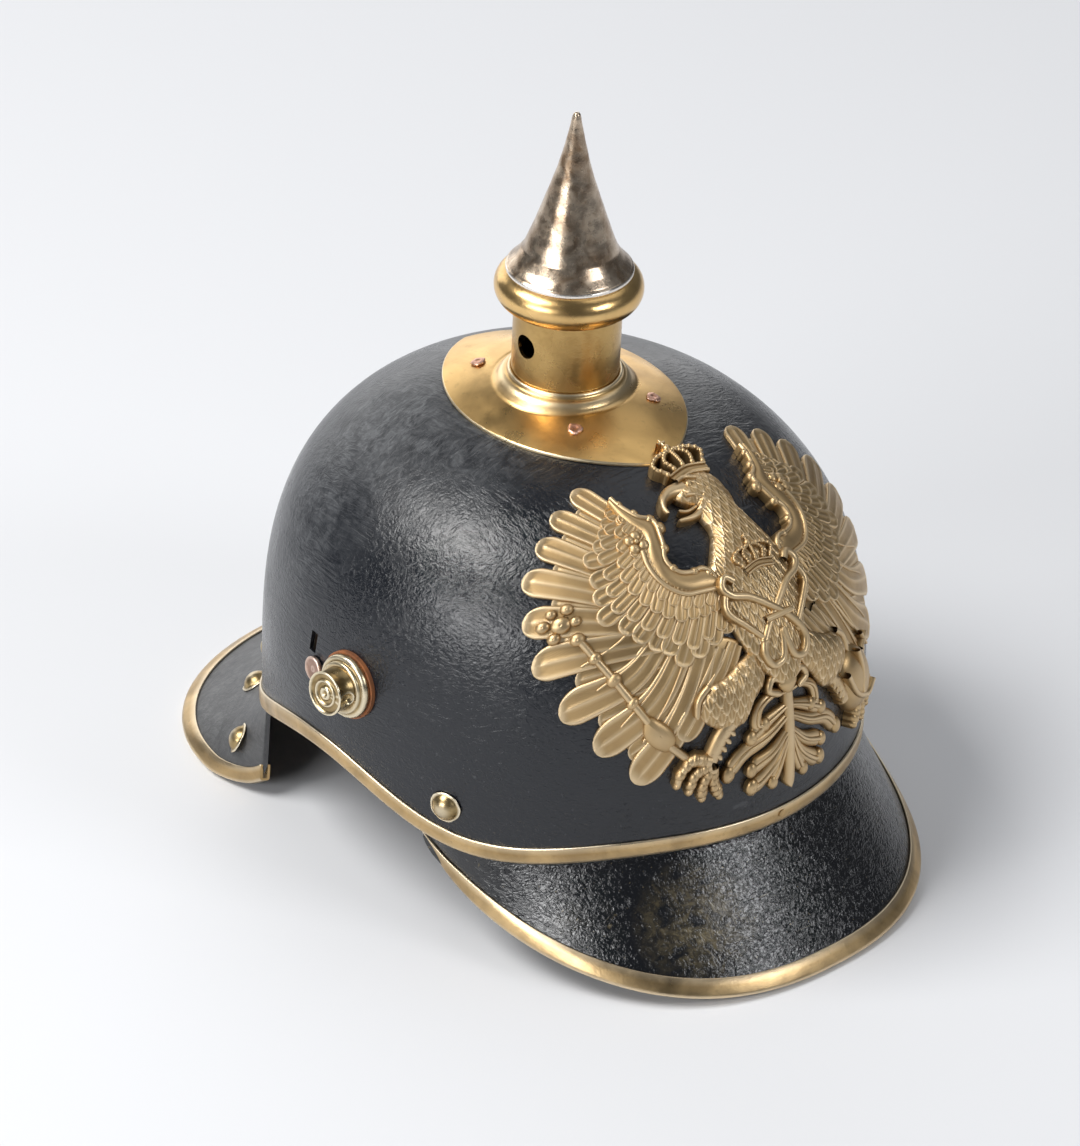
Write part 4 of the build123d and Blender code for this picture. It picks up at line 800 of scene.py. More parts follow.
for side in (1, -1):
    place, axis = at = seat(85 * side, 34.3, 0.0)
    bases.append(lathe(base_profile, around=120, at=at))
    points, _, _, _, wear, _, _ = lathe([(0.01, 4.52, 0), *barrel, *face], around=180, at=at)
    level = np.cross((0, 0, 1), axis) * -side
    from_axis = points - place
    rise = from_axis @ axis
    spread = from_axis - rise[..., None] * axis
    run = DRUM * np.arctan2(spread @ np.cross(axis, level), spread @ level)
    away = np.hypot(run / 1.75, np.maximum(np.abs(rise - SLOT_MIDDLE) - 0.8, 0) / 1.7)
    on_side = (rise > 4.6) & (rise < 10.3)
    push = (-SLOT_SINK / (1 + away**8) + 0.35 * np.exp(-(((away - 1.3) / 0.16) ** 2))) * on_side
    push *= np.clip((rise - 4.6) / 0.5, 0, 1) * np.clip((10.3 - rise) / 0.5, 0, 1)
    size = np.maximum(np.linalg.norm(spread, axis=-1, keepdims=True), 1e-6)
    lip = 0.9 * np.exp(-(((away - 1.3) / 0.2) ** 2)) * on_side
    wear = np.clip(wear.reshape(rise.shape) + lip, 0, 1)
    drums.append(block(points + spread / size * push[..., None], close_cols=True, worn=wear))
    studs.append(lathe(stud_profile, around=72, at=seat(94.1 * side, 31.8), ragged=0.06))
piece("post_base_flanges", bases, post_brass, ["post_bases"])
piece("post_drum_barrels", drums, post_brass, ["post_drums"])
stud_copper = metal(
    "stud_copper", (0.50, 0.34, 0.27), (0.26, 0.16, 0.12), (0.86, 0.68, 0.58), 0.34, 0.5, 200
)
piece("stud_discs", studs, stud_copper, ["side_studs"])
rust = metal(
    "rusty_washer", (0.36, 0.13, 0.045), (0.14, 0.06, 0.03), (0.6, 0.35, 0.15), 0.5, 0.8, 140, 0.2
)
keep("post_washers", rust)
keep("post_nuts", dull_steel)


# Liner
# Inside the bowl a steel carrier holds a leather sweatband with rolled edges and a sewn line near
# each; ten leather tongues rise from behind it along the bowl and narrow to round tips.
leather = Finish("liner_leather")
pores = leather.node("TexVoronoi", {"Vector": leather.place, "Scale": 1100.0}).outputs["Distance"]
creases = leather.ramp(leather.noise(150, 6, distortion=1.6), 0.47, 0.53)
dyed = leather.ramp(leather.noise(36, 5), 0.3, 0.7)
tone = leather.mix(dyed, (0.085, 0.046, 0.024), (0.19, 0.108, 0.056))
rubbed = leather.use(EDGE_WEAR, {"Colour": tone, "Bright": (0.34, 0.21, 0.12), "Amount": 0.8})
liner_finish = leather.done(
    rubbed["Colour"], leather.ramp(pores, 0.0, 0.6, 0.74, 0.5),
    leather.bump(pores, 0.00016, 0.6, leather.bump(creases, 0.0002, 0.5)),
)
keep("liner_carrier", dull_steel)
BAND_OUT, BAND_IN, BAND_FOOT, BAND_TOP, THREAD = -3.25, -5.0, 11.3, 45.7, 0.28
ring_turns = np.linspace(0, 2 * np.pi, 720, endpoint=False)
rows, wear = [], []
for z, lift, w in [
    (BAND_FOOT + 0.5, BAND_OUT, 0.3), (BAND_FOOT + 0.1, BAND_OUT - 0.4, 0.8), (BAND_FOOT, -4.1, 1.0),
    (BAND_FOOT + 0.1, BAND_IN + 0.45, 1.0), (BAND_FOOT + 0.6, BAND_IN, 0.8), (BAND_FOOT + 1.6, BAND_IN, 0.2),
    *[(z, BAND_IN + 0.12 * np.sin(z), 0.0) for z in np.linspace(BAND_FOOT + 3, BAND_TOP - 3, 18)],
    (BAND_TOP - 0.8, BAND_IN, 0.6), (BAND_TOP - 0.1, BAND_IN + 0.5, 1.0), (BAND_TOP, -4.1, 0.8),
    (BAND_TOP - 0.1, BAND_OUT - 0.4, 0.4), (BAND_TOP - 0.6, BAND_OUT, 0.0),
]:
    wave = 0.10 * np.sin(9 * ring_turns + z * 0.1) * (lift < -4.5) if w == 0 else 0
    rows.append(skull_point(ring_turns, z, lift + wave))
    wear.append(w)
sewn = []
for z in (BAND_FOOT + 2.6, BAND_TOP - 2.6):
    run = np.linspace(0, 2 * np.pi, 2400, endpoint=False)
    dip = 0.22 * np.cos(170 * run)
    tube = [
        skull_point(run, z + THREAD * np.cos(a), BAND_IN + 0.05 - THREAD * np.sin(a) + dip)
        for a in np.linspace(0, 2 * np.pi, 7, endpoint=False)
    ]
    sewn.append(block(tube, True, True, worn=1.0))
band = block(rows, True, True, worn=np.array(wear)[:, None])
piece("sweatband_leather", [band, *sewn], liner_finish, ["sweatband"])
TONGUE_OUT, TONGUE_IN, TONGUE_END, TONGUE_ROUND = -5.6, -6.85, 34.3, 7


def tongue(angle):
    """One leather tongue: rows climb the bowl, the columns go round its flat section, whose half
    width grows from 7 mm at 34 mm from the spike's axis by 13 mm over 77.5 mm."""
    way = np.array([np.cos(angle), np.sin(angle)])
    cross = np.array([-way[1], way[0]])
    middle = np.arctan2(way[0], -way[1])
    near = middle + np.radians(np.linspace(-40, 40, 161))
    heights = HIGH * np.sin(np.linspace(0.2, 1.56, 400)) ** (2 / RISE_POWER)
    reach = skull_point(np.full(400, middle), heights, -6.2)[..., :2] @ way
    steps = np.linspace(reach[0] - 0.3, TONGUE_END, 60)
    z_at = np.interp(-steps, -reach, heights)
    rows, wear = [], []
    v = np.linspace(-1, 1, 21)
    for k, z in enumerate(z_at):
        end = np.clip((TONGUE_END + TONGUE_ROUND - steps[k]) / TONGUE_ROUND, 0, 1)
        faces, marks = [], []
        for lift, order in ((TONGUE_OUT, v), (TONGUE_IN, v[::-1])):
            p = skull_point(near, np.full(161, z), lift)
            out, across = p[:, :2] @ way, p[:, :2] @ cross
            half = (7 + 13 * (out - 34) / 77.5) * np.sqrt(max(1 - end**2, 0.0004))
            share = across / half
            order_of = np.argsort(share)
            edge = 0.3 * np.abs(order) ** 12 * (1 if lift == TONGUE_IN else -1)
            p = np.stack(
                [np.interp(order * 0.985, share[order_of], p[order_of, m]) for m in range(3)], -1
            )
            faces.append(p + skull_normal(p) * edge[:, None])
            seam = np.exp(-(((np.abs(order) - 0.8) / 0.03) ** 2))
            marks.append(np.abs(order) ** 10 + 0.8 * (end > 0.8) + 0.5 * seam)
        rows.append(np.concatenate(faces))
        wear.append(np.concatenate(marks))
    rows, wear = np.array(rows), np.clip(np.array(wear), 0, 1)
    lid = block([rows[0], rows[0] * 0 + rows[0].mean(0)], close_cols=True, centre=rows[1].mean(0))
    return [block(rows, close_cols=True, worn=wear), lid]


tongues = []
for k in range(10):
    tongues += tongue(np.radians(18 + 36 * k))
piece("tongues_leather", tongues, liner_finish, ["liner_tongues"])


# Eagle plate
# One stamping of thin brass, bent to the bowl and held by two posts and nuts, with feathers,
# scales and crowns pressed into it. It is drawn in millimetres on a plane that faces forward and
# up (x across, w up the plane), and every point is carried square to that plane on to the bowl.
def bend(x, w, lift):
    """Point over the skull for a place of the drawing, found by halving along the plane's normal."""
    x, w, lift = np.broadcast_arrays(np.asarray(x, float), np.asarray(w, float), np.asarray(lift, float))
    half = np.sqrt(0.5)
    near, far = np.full(x.shape, -60.0), np.full(x.shape, 220.0)
    for _ in range(36):
        mid = (near + far) / 2
        y, z = half * (w - mid), half * (w + mid)
        inside = (x / HALF) ** 2 + (y / np.where(y < 0, FRONT, REAR)) ** 2 < swell(z) ** 2
        near, far = np.where(inside, mid, near), np.where(inside, far, mid)
    p = np.stack([x, half * (w - near), half * (w + near)], -1)
    return p + skull_normal(p) * lift[..., None]


def curve(points, steps):
    """Smooth line through places of the drawing, evenly spaced (Catmull-Rom)."""
    p = np.array(points, float)
    if len(p) == 2:
        return p[0] + (p[1] - p[0]) * np.linspace(0, 1, steps)[:, None]
    p = np.vstack([2 * p[0] - p[1], p, 2 * p[-1] - p[-2]])
    t = np.linspace(0, 1, 24, endpoint=False)[:, None]
    parts = []
    for a, b, c, d in zip(p, p[1:], p[2:], p[3:]):
        parts.append(0.5 * (2 * b + (c - a) * t + (2 * a - 5 * b + 4 * c - d) * t**2
                            + (3 * b - a - 3 * c + d) * t**3))
    line = np.vstack([*parts, p[-2:-1]])
    run = np.append(0, np.cumsum(np.hypot(*np.diff(line, axis=0).T)))
    even = np.linspace(0, run[-1], steps)
    return np.stack([np.interp(even, run, line[:, 0]), np.interp(even, run, line[:, 1])], -1)


def relief(x, w, lift, wear=0.0, barb=0.0):
    """A patch of the stamping: its edge columns are doubled and turned down to the skull."""
    x, w, lift, wear, barb = np.broadcast_arrays(x, w, lift, wear, barb)
    beside = (0, 0), (1, 1)
    x, w = (np.pad(values, beside, "edge") for values in (x, w))
    lift = np.pad(lift, beside, constant_values=0.08)
    wear, barb = (np.pad(values, beside) for values in (wear, barb))
    # The wear values set here brighten the eagle's raised crests over a darkened base colour. This is partly
    # real wear on the high points and partly painted shade in the hollows.
    return block(bend(x, w, lift), centre=(0, 0, 20), worn=wear, barb=barb)


def strip(points, width, base, rise, shape="round", taper=(1.0, 1.0), tip=True, steps=36, across=13):
    """A relief that follows a line: width across, base and rise of its section, rounded at its tip.
    The round section is half an oval; the feather section has raised rims and a quill."""
    s = np.sin(np.linspace(0, np.pi / 2, steps))
    line = curve(points, 240)
    length = np.hypot(*np.diff(line, axis=0).T).sum()
    at = s * 239
    x, w = np.interp(at, np.arange(240), line[:, 0]), np.interp(at, np.arange(240), line[:, 1])
    slope = np.gradient(line, axis=0)
    dx, dw = np.interp(at, np.arange(240), slope[:, 0]), np.interp(at, np.arange(240), slope[:, 1])
    size = np.hypot(dx, dw)
    half = width / 2 * (taper[0] + (taper[1] - taper[0]) * s)
    if tip:
        blunt = min(0.9, half[-1] / max(length, 0.01))
        end = np.clip((s - (1 - blunt)) / blunt, 0, 1)
        half = half * np.sqrt(np.clip(1 - end**2, 0, 1)) + 0.01
    v = np.linspace(-1, 1, across)
    if shape == "round":
        lift = base + rise * np.sqrt(np.clip(1 - 0.97 * v**2, 0, 1))
        wear = np.clip(1.25 * np.sqrt(1 - 0.97 * v**2) - 0.65, 0, 1)
        lift, wear = lift[None, :] + 0 * s[:, None], wear[None, :] + 0 * s[:, None]
        barb = 0 * lift
    else:
        rim = np.exp(-(((np.abs(v) - 0.86) / 0.12) ** 2))
        quill = np.exp(-((v / 0.11) ** 2))
        hollow = 1 - v**2
        close = np.clip((s - 0.93) / 0.05, 0, 1)[:, None]
        raised = np.maximum(rim, close * 0.9)
        shown = quill * (s[:, None] < 0.93)
        lift = base + rise * (0.35 + 0.25 * hollow + 0.55 * raised + 0.5 * shown)
        wear = np.maximum(raised * 0.9, quill * 0.7)
        barb = s[:, None] * length * 1.5 - np.abs(v) * width * 0.9
    x2 = x[:, None] - dw[:, None] / size[:, None] * half[:, None] * v
    w2 = w[:, None] + dx[:, None] / size[:, None] * half[:, None] * v
    return relief(x2, w2, lift, wear, barb)


def scales(x, w, pitch, row):
    """Height and wear of overlapping scales whose tips point down. A scale's height is the square
    of the distance from its root, with a quill down its middle; the topmost scale counts."""
    height, wear, done = np.zeros(x.shape), np.zeros(x.shape), np.zeros(x.shape, bool)
    k = np.floor(w / row)
    for ahead in (2, 1, 0, -1):
        level = (k + ahead) * row
        shift = 0.5 * ((k + ahead) % 2)
        u = (x / pitch + shift) % 1 - 0.5
        r = np.hypot(u * 2, (level - w) / (1.75 * row))
        mine = (r < 1) & ~done & (level > w - 0.3 * row)
        height = np.where(mine, r**2, height)
        quill = np.exp(-((u / 0.07) ** 2))
        wear = np.where(mine, np.clip((r - 0.75) * 4, 0, 1) + 0.5 * quill * (r > 0.2), wear)
        height = height + np.where(mine, 0.35 * quill, 0)
        done |= mine
    return height, wear


def ribbon(left, right, base, rise, scale=None, steps=90, across=60, power=2.0):
    """A swollen patch between two lines, with scales if a pitch, a row and a height are given."""
    a, b = curve(left, steps), curve(right, steps)
    v = np.linspace(0, 1, across)[None, :, None]
    place = a[:, None] * (1 - v) + b[:, None] * v
    x, w = place[..., 0], place[..., 1]
    swollen = 1 - np.abs(2 * v[..., 0] - 1) ** power
    lift = base + rise * np.sqrt(np.clip(swollen, 0, 1)) + 0 * x
    wear = 0.15 * swollen + 0 * x
    if scale:
        height, marks = scales(x, w, scale[0], scale[1])
        lift, wear = lift + scale[2] * height, marks
    return relief(x, w, lift, wear)


def medal(outline, centre, base, rise, power=2.0, scale=None, rings=26, around=120):
    """A swollen patch inside a closed smooth outline seen from its centre."""
    ring = curve([*outline, outline[0]], around)[:-1]
    centre = np.array(centre, float)
    s = np.sin(np.linspace(0.02, np.pi / 2, rings))[:, None, None]
    place = (centre + (ring - centre) * s).transpose(1, 0, 2)
    x, w = place[..., 0], place[..., 1]
    s = s[:, 0, 0][None, :]
    lift = base + rise * np.sqrt(np.clip(1 - s**power, 0, 1)) + 0 * x
    wear = 0.35 * (1 - s**2) + 0 * x
    if scale:
        height, marks = scales(x, w, scale[0], scale[1])
        lift, wear = lift + scale[2] * height, marks
    return relief(*(np.vstack([values, values[:1]]) for values in (x, w, lift, wear)))


def bead_at(x, w, radius, base, rise=None):
    """A round bead of the drawing."""
    a = np.linspace(0, 2 * np.pi, 12, endpoint=False)
    ring = np.stack([x + radius * np.cos(a), w + radius * np.sin(a)], -1)
    return medal(ring, (x, w), base, radius * 0.8 if rise is None else rise, rings=9, around=25)


def both(blocks_of):
    """Runs a maker for the wearer's right and for its mirror on the left."""
    return blocks_of(1) + blocks_of(-1)


def flip(points, side):
    """Places of the wearer's right, mirrored for the left side."""
    return [(x * side, w) for x, w in points]


def feather(path, side, width, base, rise, taper, **sizes):
    """A feather on one side, narrowed at its root by its taper."""
    return strip(flip(path, side), width, base, rise, "feather", (taper, 1.0), **sizes)


PRIMARY_TOP = [(-27.1, 31.2), (-35, 25.2), (-41.5, 19), (-45.9, 11.2), (-47.5, 1.5), (-42.8, -6.9),
               (-49.4, -18.7), (-48.2, -29.2), (-42.2, -42.4)]
PRIMARY_LOW = [(-31.6, 25.9), (-38.6, 22.3), (-44.9, 14.4), (-46.3, 4.3), (-48.9, -3.6), (-52.7, -12.9),
               (-45.5, -26.1), (-45.9, -37.7), (-38.3, -48.5)]
PRIMARY_TIP = [(-32.9, 39.6), (-43.2, 35.3), (-51.6, 29.1), (-60.1, 21.0), (-65.2, 9.2), (-67.2, -4.0),
               (-64.4, -20.4), (-57.8, -35.0), (-48.6, -49.0)]
ROOTS = {6: [(-36, -14), (-47, -20.5)], 7: [(-30, -19), (-42, -30)], 8: [(-23, -21), (-34, -37)]}


def long_feathers(side):
    """Nine long feathers, the shorter ones between them, the sheet under them and bare quills."""
    made = []
    for k, tip in enumerate(PRIMARY_TIP):
        mid = np.add(PRIMARY_TOP[k], PRIMARY_LOW[k]) / 2
        if k in ROOTS:
            path = [*ROOTS[k], tip]
        else:
            inward = (mid - tip) / np.hypot(*(mid - tip))
            path = [mid + inward * 15, mid + inward * 3, tip]
        width = 8.4 + 3.0 * np.clip((k - 1) / 5, 0, 1)
        made.append(feather(path, side, width, 0.75 + 0.04 * (k % 2), 0.75, 0.62, across=17))
        if k < 8:
            nxt = PRIMARY_TIP[k + 1]
            between = (np.array(tip) + nxt) / 2
            root = (mid + np.add(PRIMARY_TOP[k + 1], PRIMARY_LOW[k + 1]) / 2) / 2
            inner = between + (root - between) * 0.36
            made.append(feather([root + (root - between) * 0.6, inner], side, 7.6, 0.35, 0.6, 0.8))
    made.append(feather([(-18, -24), (-25.5, -33), (-35.5, -43.5)], side, 9.0, 0.95, 0.7, 0.6))
    made.append(feather([(-14, -24), (-20, -31), (-29.5, -38.5)], side, 8.0, 1.1, 0.7, 0.6))
    tips = np.array(PRIMARY_TIP)
    mids = (np.array(PRIMARY_TOP) + np.array(PRIMARY_LOW)) / 2
    tips, mids = (tips[:-1] + tips[1:]) / 2, (mids[:-1] + mids[1:]) / 2
    notches = [tuple(p) for p in tips + (mids - tips) * 0.46]
    outer = [(-33, 33.5), *notches, (-42, -45), (-33, -41), (-22, -31)]
    inner = [(-29, 29), (-32, 23), (-35, 16), (-37, 8), (-37.5, 1), (-35, -7), (-30, -13), (-23, -18),
             (-16, -21), (-12, -24)]
    made.append(ribbon(flip(inner, side), flip(outer, side), 0.4, 0.25, steps=90, across=30, power=8.0))
    for root, middle, end in (
        ((-33, -9), (-44, -16), (-55, -19)), ((-29, -14), (-40, -25), (-51, -32)),
        ((-27, -17), (-37, -30), (-46, -39)), ((-22, -20), (-31, -34), (-39.5, -44)),
        ((-36, -4), (-47, -9), (-57, -10.5)), ((-24.5, -18), (-33.6, -31), (-43, -42)),
    ):
        made.append(strip(flip([root, middle, end], side), 0.8, 1.15, 0.45, steps=40))
    return made


TIER_B = [(-30.3, 28.8), (-33.9, 25.6), (-36.9, 22.7), (-40.3, 19.8), (-44.6, 17.5), (-46.2, 10.5),
          (-47.7, 5.1), (-49, -1.1), (-44.6, -6.8), (-41.9, -11.1), (-38.3, -15.7), (-35.2, -18.4),
          (-32.1, -23.4), (-26.9, -23), (-21.4, -21.4), (-16, -20)]
ROOT_B = [(-25, 26), (-24.5, 22), (-24, 18), (-25, 13), (-27, 8), (-27, 3), (-25, -1), (-21, -4),
          (-17, -6), (-13, -9)]
TIER_A = [(-29.5, 22.5), (-32.5, 19.8), (-34.6, 15.6), (-37, 11.1), (-38.4, 6.8), (-38, 2.4),
          (-36.3, -2.2), (-34.2, -5.6), (-31.6, -8.6), (-28.3, -11.2), (-24.6, -12), (-21.2, -12.6),
          (-17.5, -12.5), (-14, -13)]


def cover_feathers(side):
    """Two rows of shorter feathers from the arm, each with a raised row over its gaps."""
    made = []
    roots = curve(ROOT_B, len(TIER_B))
    for k, (tip, root) in enumerate(zip(TIER_B, roots)):
        bow = (np.array(tip) + root) / 2 + np.array([0, -0.8])
        made.append(feather([root, bow, tip], side, 6.8, 1.65 + 0.05 * (k % 2), 0.75, 0.55, steps=30))
    inner = curve(TIER_B, 29)[1::2]
    roots_in = curve(ROOT_B, len(inner))
    for tip, root in zip(inner, roots_in):
        near = root + (np.array(tip) - root) * 0.80
        made.append(feather([root, near], side, 5.0, 2.05, 0.75, 0.6, steps=24))
    roots = curve(ROOT_B, len(TIER_A))
    for k, (tip, root) in enumerate(zip(TIER_A, roots)):
        made.append(feather([root, tip], side, 4.7, 2.65 + 0.05 * (k % 2), 0.8, 0.6, steps=24))
    inner = curve(TIER_A, 27)[1::2]
    roots_in = curve(ROOT_B, len(inner))
    for tip, root in zip(inner, roots_in):
        near = root + (np.array(tip) - root) * 0.62
        made.append(feather([root, near], side, 3.9, 3.0, 0.7, 0.6, steps=20))
    return made


def wing_arm(side):
    """The wing's arm: a swollen band with corded edges, beads along it and a small flower."""
    edge = [(-26.5, 31.4), (-26, 28.1), (-23.7, 22.9), (-20.4, 19.8), (-21.5, 14.5), (-22.6, 11.2),
            (-24.2, 8.3), (-24, 5), (-22.1, 2.1), (-18.5, 0.8), (-15.6, 0.7), (-13.5, -1.3), (-13, -4)]
    back = [(-28.5, 30), (-28.4, 26), (-27.4, 22), (-26, 18), (-27, 14), (-28.6, 10.5), (-29.2, 7),
            (-28.6, 2.5), (-26.5, -1.5), (-23, -4.5), (-19, -5.8), (-15.5, -6.5), (-12, -8)]
    made = [ribbon(flip(back, side), flip(edge, side), 2.2, 2.0, steps=120, across=36)]
    made.append(strip(flip(edge, side), 1.9, 2.6, 1.5, steps=110, tip=False))
    cord = [(-29, 12.5), (-29.9, 8.3), (-29.5, 3.6), (-27.3, -1), (-23.8, -4.3), (-19.1, -5.5),
            (-14, -6.5)]
    made.append(strip(flip(cord, side), 1.8, 3.0, 1.3, steps=90, tip=False))
    for x, w, r in (
        (-19.9, 17.1, 2.0), (-22.6, 10.8, 1.7), (-23.6, 4.2, 1.6), (-18, 0.6, 1.6), (-14.2, -1.6, 1.6),
        (-20.8, 20.6, 1.7), (-23.9, 24.2, 1.5), (-25.9, 28.6, 1.4),
    ):
        made.append(bead_at(x * side, w, r, 2.2, 2.1))
    for x, w in ((-28, 17.7), (-27.4, 14.2), (-30.4, 14.2), (-30.4, 17)):
        made.append(bead_at(x * side, w, 1.7, 3.2, 1.3))
    made.append(bead_at(-29 * side, 15.8, 0.8, 4.2, 0.8))
    return made


def crown_of(x0, w0, size, lift):
    """A closed crown: band, pearls, five beaded arches, orb and cross."""
    def at(x, w):
        """Place of the crown's own drawing, whose half width is about one."""
        return x0 + x * size, w0 + w * size

    low = [at(0.78, 0.0), at(0, 0.14), at(-0.78, 0.0)]
    high = [at(0.86, 0.26), at(0, 0.42), at(-0.86, 0.26)]
    raised = lift + 0.1 * size
    made = [ribbon(low, high, lift, 0.16 * size, steps=40, across=12)]
    for wide, path in (
        (0.10, [(-0.86, 0.28), (0, 0.43), (0.86, 0.28)]), (0.12, [(-0.78, -0.02), (0, 0.12), (0.78, -0.02)]),
    ):
        made.append(strip([at(*p) for p in path], wide * size, raised, 0.1 * size, tip=False))
    for x, w in ((-0.84, 0.38), (-0.44, 0.5), (0.0, 0.54), (0.44, 0.5), (0.84, 0.38)):
        made.append(bead_at(*at(x, w), 0.11 * size, raised, 0.14 * size))
    for arch in (
        [(-0.84, 0.42), (-1.12, 0.82), (-0.72, 1.12), (0, 1.2)],
        [(-0.44, 0.5), (-0.56, 0.86), (-0.32, 1.12), (0, 1.2)],
        [(0.44, 0.5), (0.56, 0.86), (0.32, 1.12), (0, 1.2)],
        [(0.84, 0.42), (1.12, 0.82), (0.72, 1.12), (0, 1.2)],
        [(0, 0.54), (0.02, 0.9), (0, 1.2)],
    ):
        path = [at(*p) for p in arch]
        made.append(strip(path, 0.16 * size, lift + 0.08 * size, 0.14 * size, tip=False))
        for x, w in curve(path, 9)[1:-1]:
            made.append(bead_at(x, w, 0.085 * size, lift + 0.16 * size, 0.1 * size))
    made.append(bead_at(*at(0, 1.3), 0.17 * size, raised, 0.2 * size))
    made.append(strip([at(0, 1.38), at(0, 1.72)], 0.12 * size, raised, 0.12 * size))
    made.append(strip([at(-0.17, 1.58), at(0.17, 1.58)], 0.11 * size, raised, 0.12 * size))
    return made


def leg(side):
    """A scaled thigh, a thin line behind it and a shank with four rings."""
    thigh = [(-8, -27), (-14, -29), (-20, -31.5), (-25.5, -32.5), (-29, -35.5), (-29.6, -39.5),
             (-26.5, -43.5), (-21.5, -46.5), (-16, -46), (-12, -41.5), (-7, -36)]
    made = [medal(flip(thigh, side), (-18.5 * side, -37.5), 1.2, 3.6, 2.4, (3.0, 2.6, 0.45), rings=48,
                  around=160)]
    made.append(strip(flip([(-26, -32), (-29.5, -34.5), (-30.8, -39)], side), 2.2, 2.0, 1.4))
    made.append(strip(flip([(-20, -44), (-24.5, -47.6), (-27.5, -52)], side), 5.2, 1.6, 2.3, tip=False))
    for k in range(4):
        a = 0.22 + 0.2 * k
        x, w = -20 - 7.5 * a, -44.6 - 8 * a
        ring = [(x - 1.5, w + 1.1), (x + 0.2, w + 0.2), (x + 1.5, w - 1.3)]
        made.append(strip(flip(ring, side), 1.5, 3.0, 0.9))
    return made


def foot_toes(side, shift):
    """Four toes of knuckles and claws, moved to what the foot grips."""
    made = []
    for path in (
        [(-28, -52), (-33, -49.5), (-36.5, -51.5), (-37.6, -54)],
        [(-28, -53), (-32.5, -53.5), (-34.2, -57.2)],
        [(-27.5, -54), (-30.2, -57), (-30.4, -60.6)],
        [(-27, -54), (-27, -58), (-25.2, -62)],
    ):
        path = [(x + shift[0], w + shift[1]) for x, w in path]
        made.append(strip(flip(path, side), 3.5, 2.4, 2.2, taper=(1.0, 0.75)))
        x, w = path[-1]
        made.append(bead_at(x * side, w, 1.3, 2.4, 2.2))
        for x, w in curve(path, 6)[1:-1]:
            made.append(bead_at(x * side, w, 1.75, 2.6, 2.3))
    return made


MIDDLE = 0.8


def tail(side):
    """Six leaves of the tail with veins and curled ends, and a curl over the topmost."""
    made = []
    for width, curl, path in (
        (4.4, 1.9, [(-1, -43), (-6, -42.4), (-11, -44.5), (-12.2, -48.6), (-9.6, -49.4)]),
        (5.2, 2.1, [(-1, -47), (-8, -49.2), (-14.5, -51.6)]),
        (5.6, 2.3, [(-1, -50), (-9, -53.5), (-17, -55), (-22.6, -58.6)]),
        (5.0, 2.0, [(-1, -54), (-7, -58.4), (-14.6, -60.4)]),
        (5.2, 2.2, [(-1, -55), (-5, -61), (-11, -64.8), (-14.2, -65.2)]),
        (4.8, 1.9, [(-0.5, -55), (-3.5, -62), (-6.4, -66.4)]),
    ):
        path = [(x * side + MIDDLE, w) for x, w in path]
        made.append(strip(path, width, 1.0, 1.3, taper=(0.45, 1.0)))
        made.append(strip(path, 0.3 * width, 2.05, 0.8, taper=(0.6, 1.0)))
        made.append(bead_at(*path[-1], curl, 1.6, 1.6))
    hook = [(-1, -40), (-5.5, -37.6), (-7.5, -40.4), (-3.5, -42.6)]
    made.append(strip([(x * side + MIDDLE, w) for x, w in hook], 2.4, 2.0, 1.8))
    return made


eagle_wings = [*both(long_feathers), *both(cover_feathers), *both(wing_arm)]
right_flank = [(-6.2, 17.5), (-5.6, 12.1), (-5.8, 9.2), (-8.2, 5.7), (-10.8, 2.4), (-13.2, -1),
               (-14.6, -6), (-14.6, -12), (-13.6, -20), (-11.2, -28), (-8, -34), (-4, -38.5)]
left_flank = [(8.5, 19), (8.3, 13.7), (9.4, 9.6), (11, 5.6), (12.6, 1.5), (14, -3), (15, -8), (15, -13),
              (14, -20), (12, -28), (8.8, -34), (5, -38.5)]
head = [(-7.6, 27.2), (-3, 28.9), (2, 29.2), (6, 28.2), (8.4, 25.3), (8.9, 20.5), (8.5, 16), (5, 13.8),
        (0, 13.6), (-4.5, 14.6), (-6.2, 16.6), (-4.6, 18.6), (-7.2, 20.6), (-9.2, 23.6)]
beak = [(-4.5, 25.4), (-9.5, 25.6), (-13.2, 24.2), (-15.2, 21.6), (-15.2, 19.2)]
eagle_body = [
    ribbon(right_flank, left_flank, 1.2, 3.9, (3.1, 2.7, 0.5), steps=280, across=144, power=2.4),
    medal(head, (0.6, 21.5), 1.4, 4.2, 2.2, (2.5, 2.0, 0.28), rings=50, around=160),
    strip(beak, 4.6, 2.6, 2.4, taper=(1.1, 0.35)),
    strip([(-4.0, 16.8), (-8, 15.9), (-13.4, 16.4)], 2.5, 2.2, 1.7, taper=(1.1, 0.5)),
    strip([(-5, 18.6), (-8.4, 18.2), (-11.2, 19.4)], 1.2, 2.2, 1.2),
    strip([(-6.6, 22.2), (-3.6, 21), (-1.2, 18)], 1.1, 4.6, 0.9),
    strip([(-6.2, 26.9), (-3, 27.3), (0.4, 25.8)], 1.2, 5.0, 0.9),
    bead_at(-3.2, 24.9, 1.15, 5.0, 0.9),
]
limbs = [
    *both(leg), *foot_toes(1, (0, 0)), *foot_toes(-1, (-7.5, 2.0)), *both(tail),
    strip([(0.8, -42), (0.8, -52), (0.9, -62), (1.2, -69.4)], 5.4, 1.5, 1.7, taper=(0.7, 0.8)),
    medal([(-2.2, -38), (0.8, -36.6), (3.8, -38), (4.4, -40.8), (0.8, -43.6), (-2.8, -40.8)],
          (0.8, -40.2), 2.2, 2.0),
]
regalia = [*crown_of(1.0, 27.3, 8.4, 3.0), *crown_of(0.9, -6.6, 6.4, 5.2)]
knot = [(-9.4, -6.6), (-11.6, -4.6), (-13.6, -7.2), (-11.6, -10.4), (-6.6, -12.6), (-0.5, -17.5),
        (5.6, -23.2), (8.6, -28.6), (6.8, -33), (3, -32.6), (1.4, -28.4), (0.8, -24)]
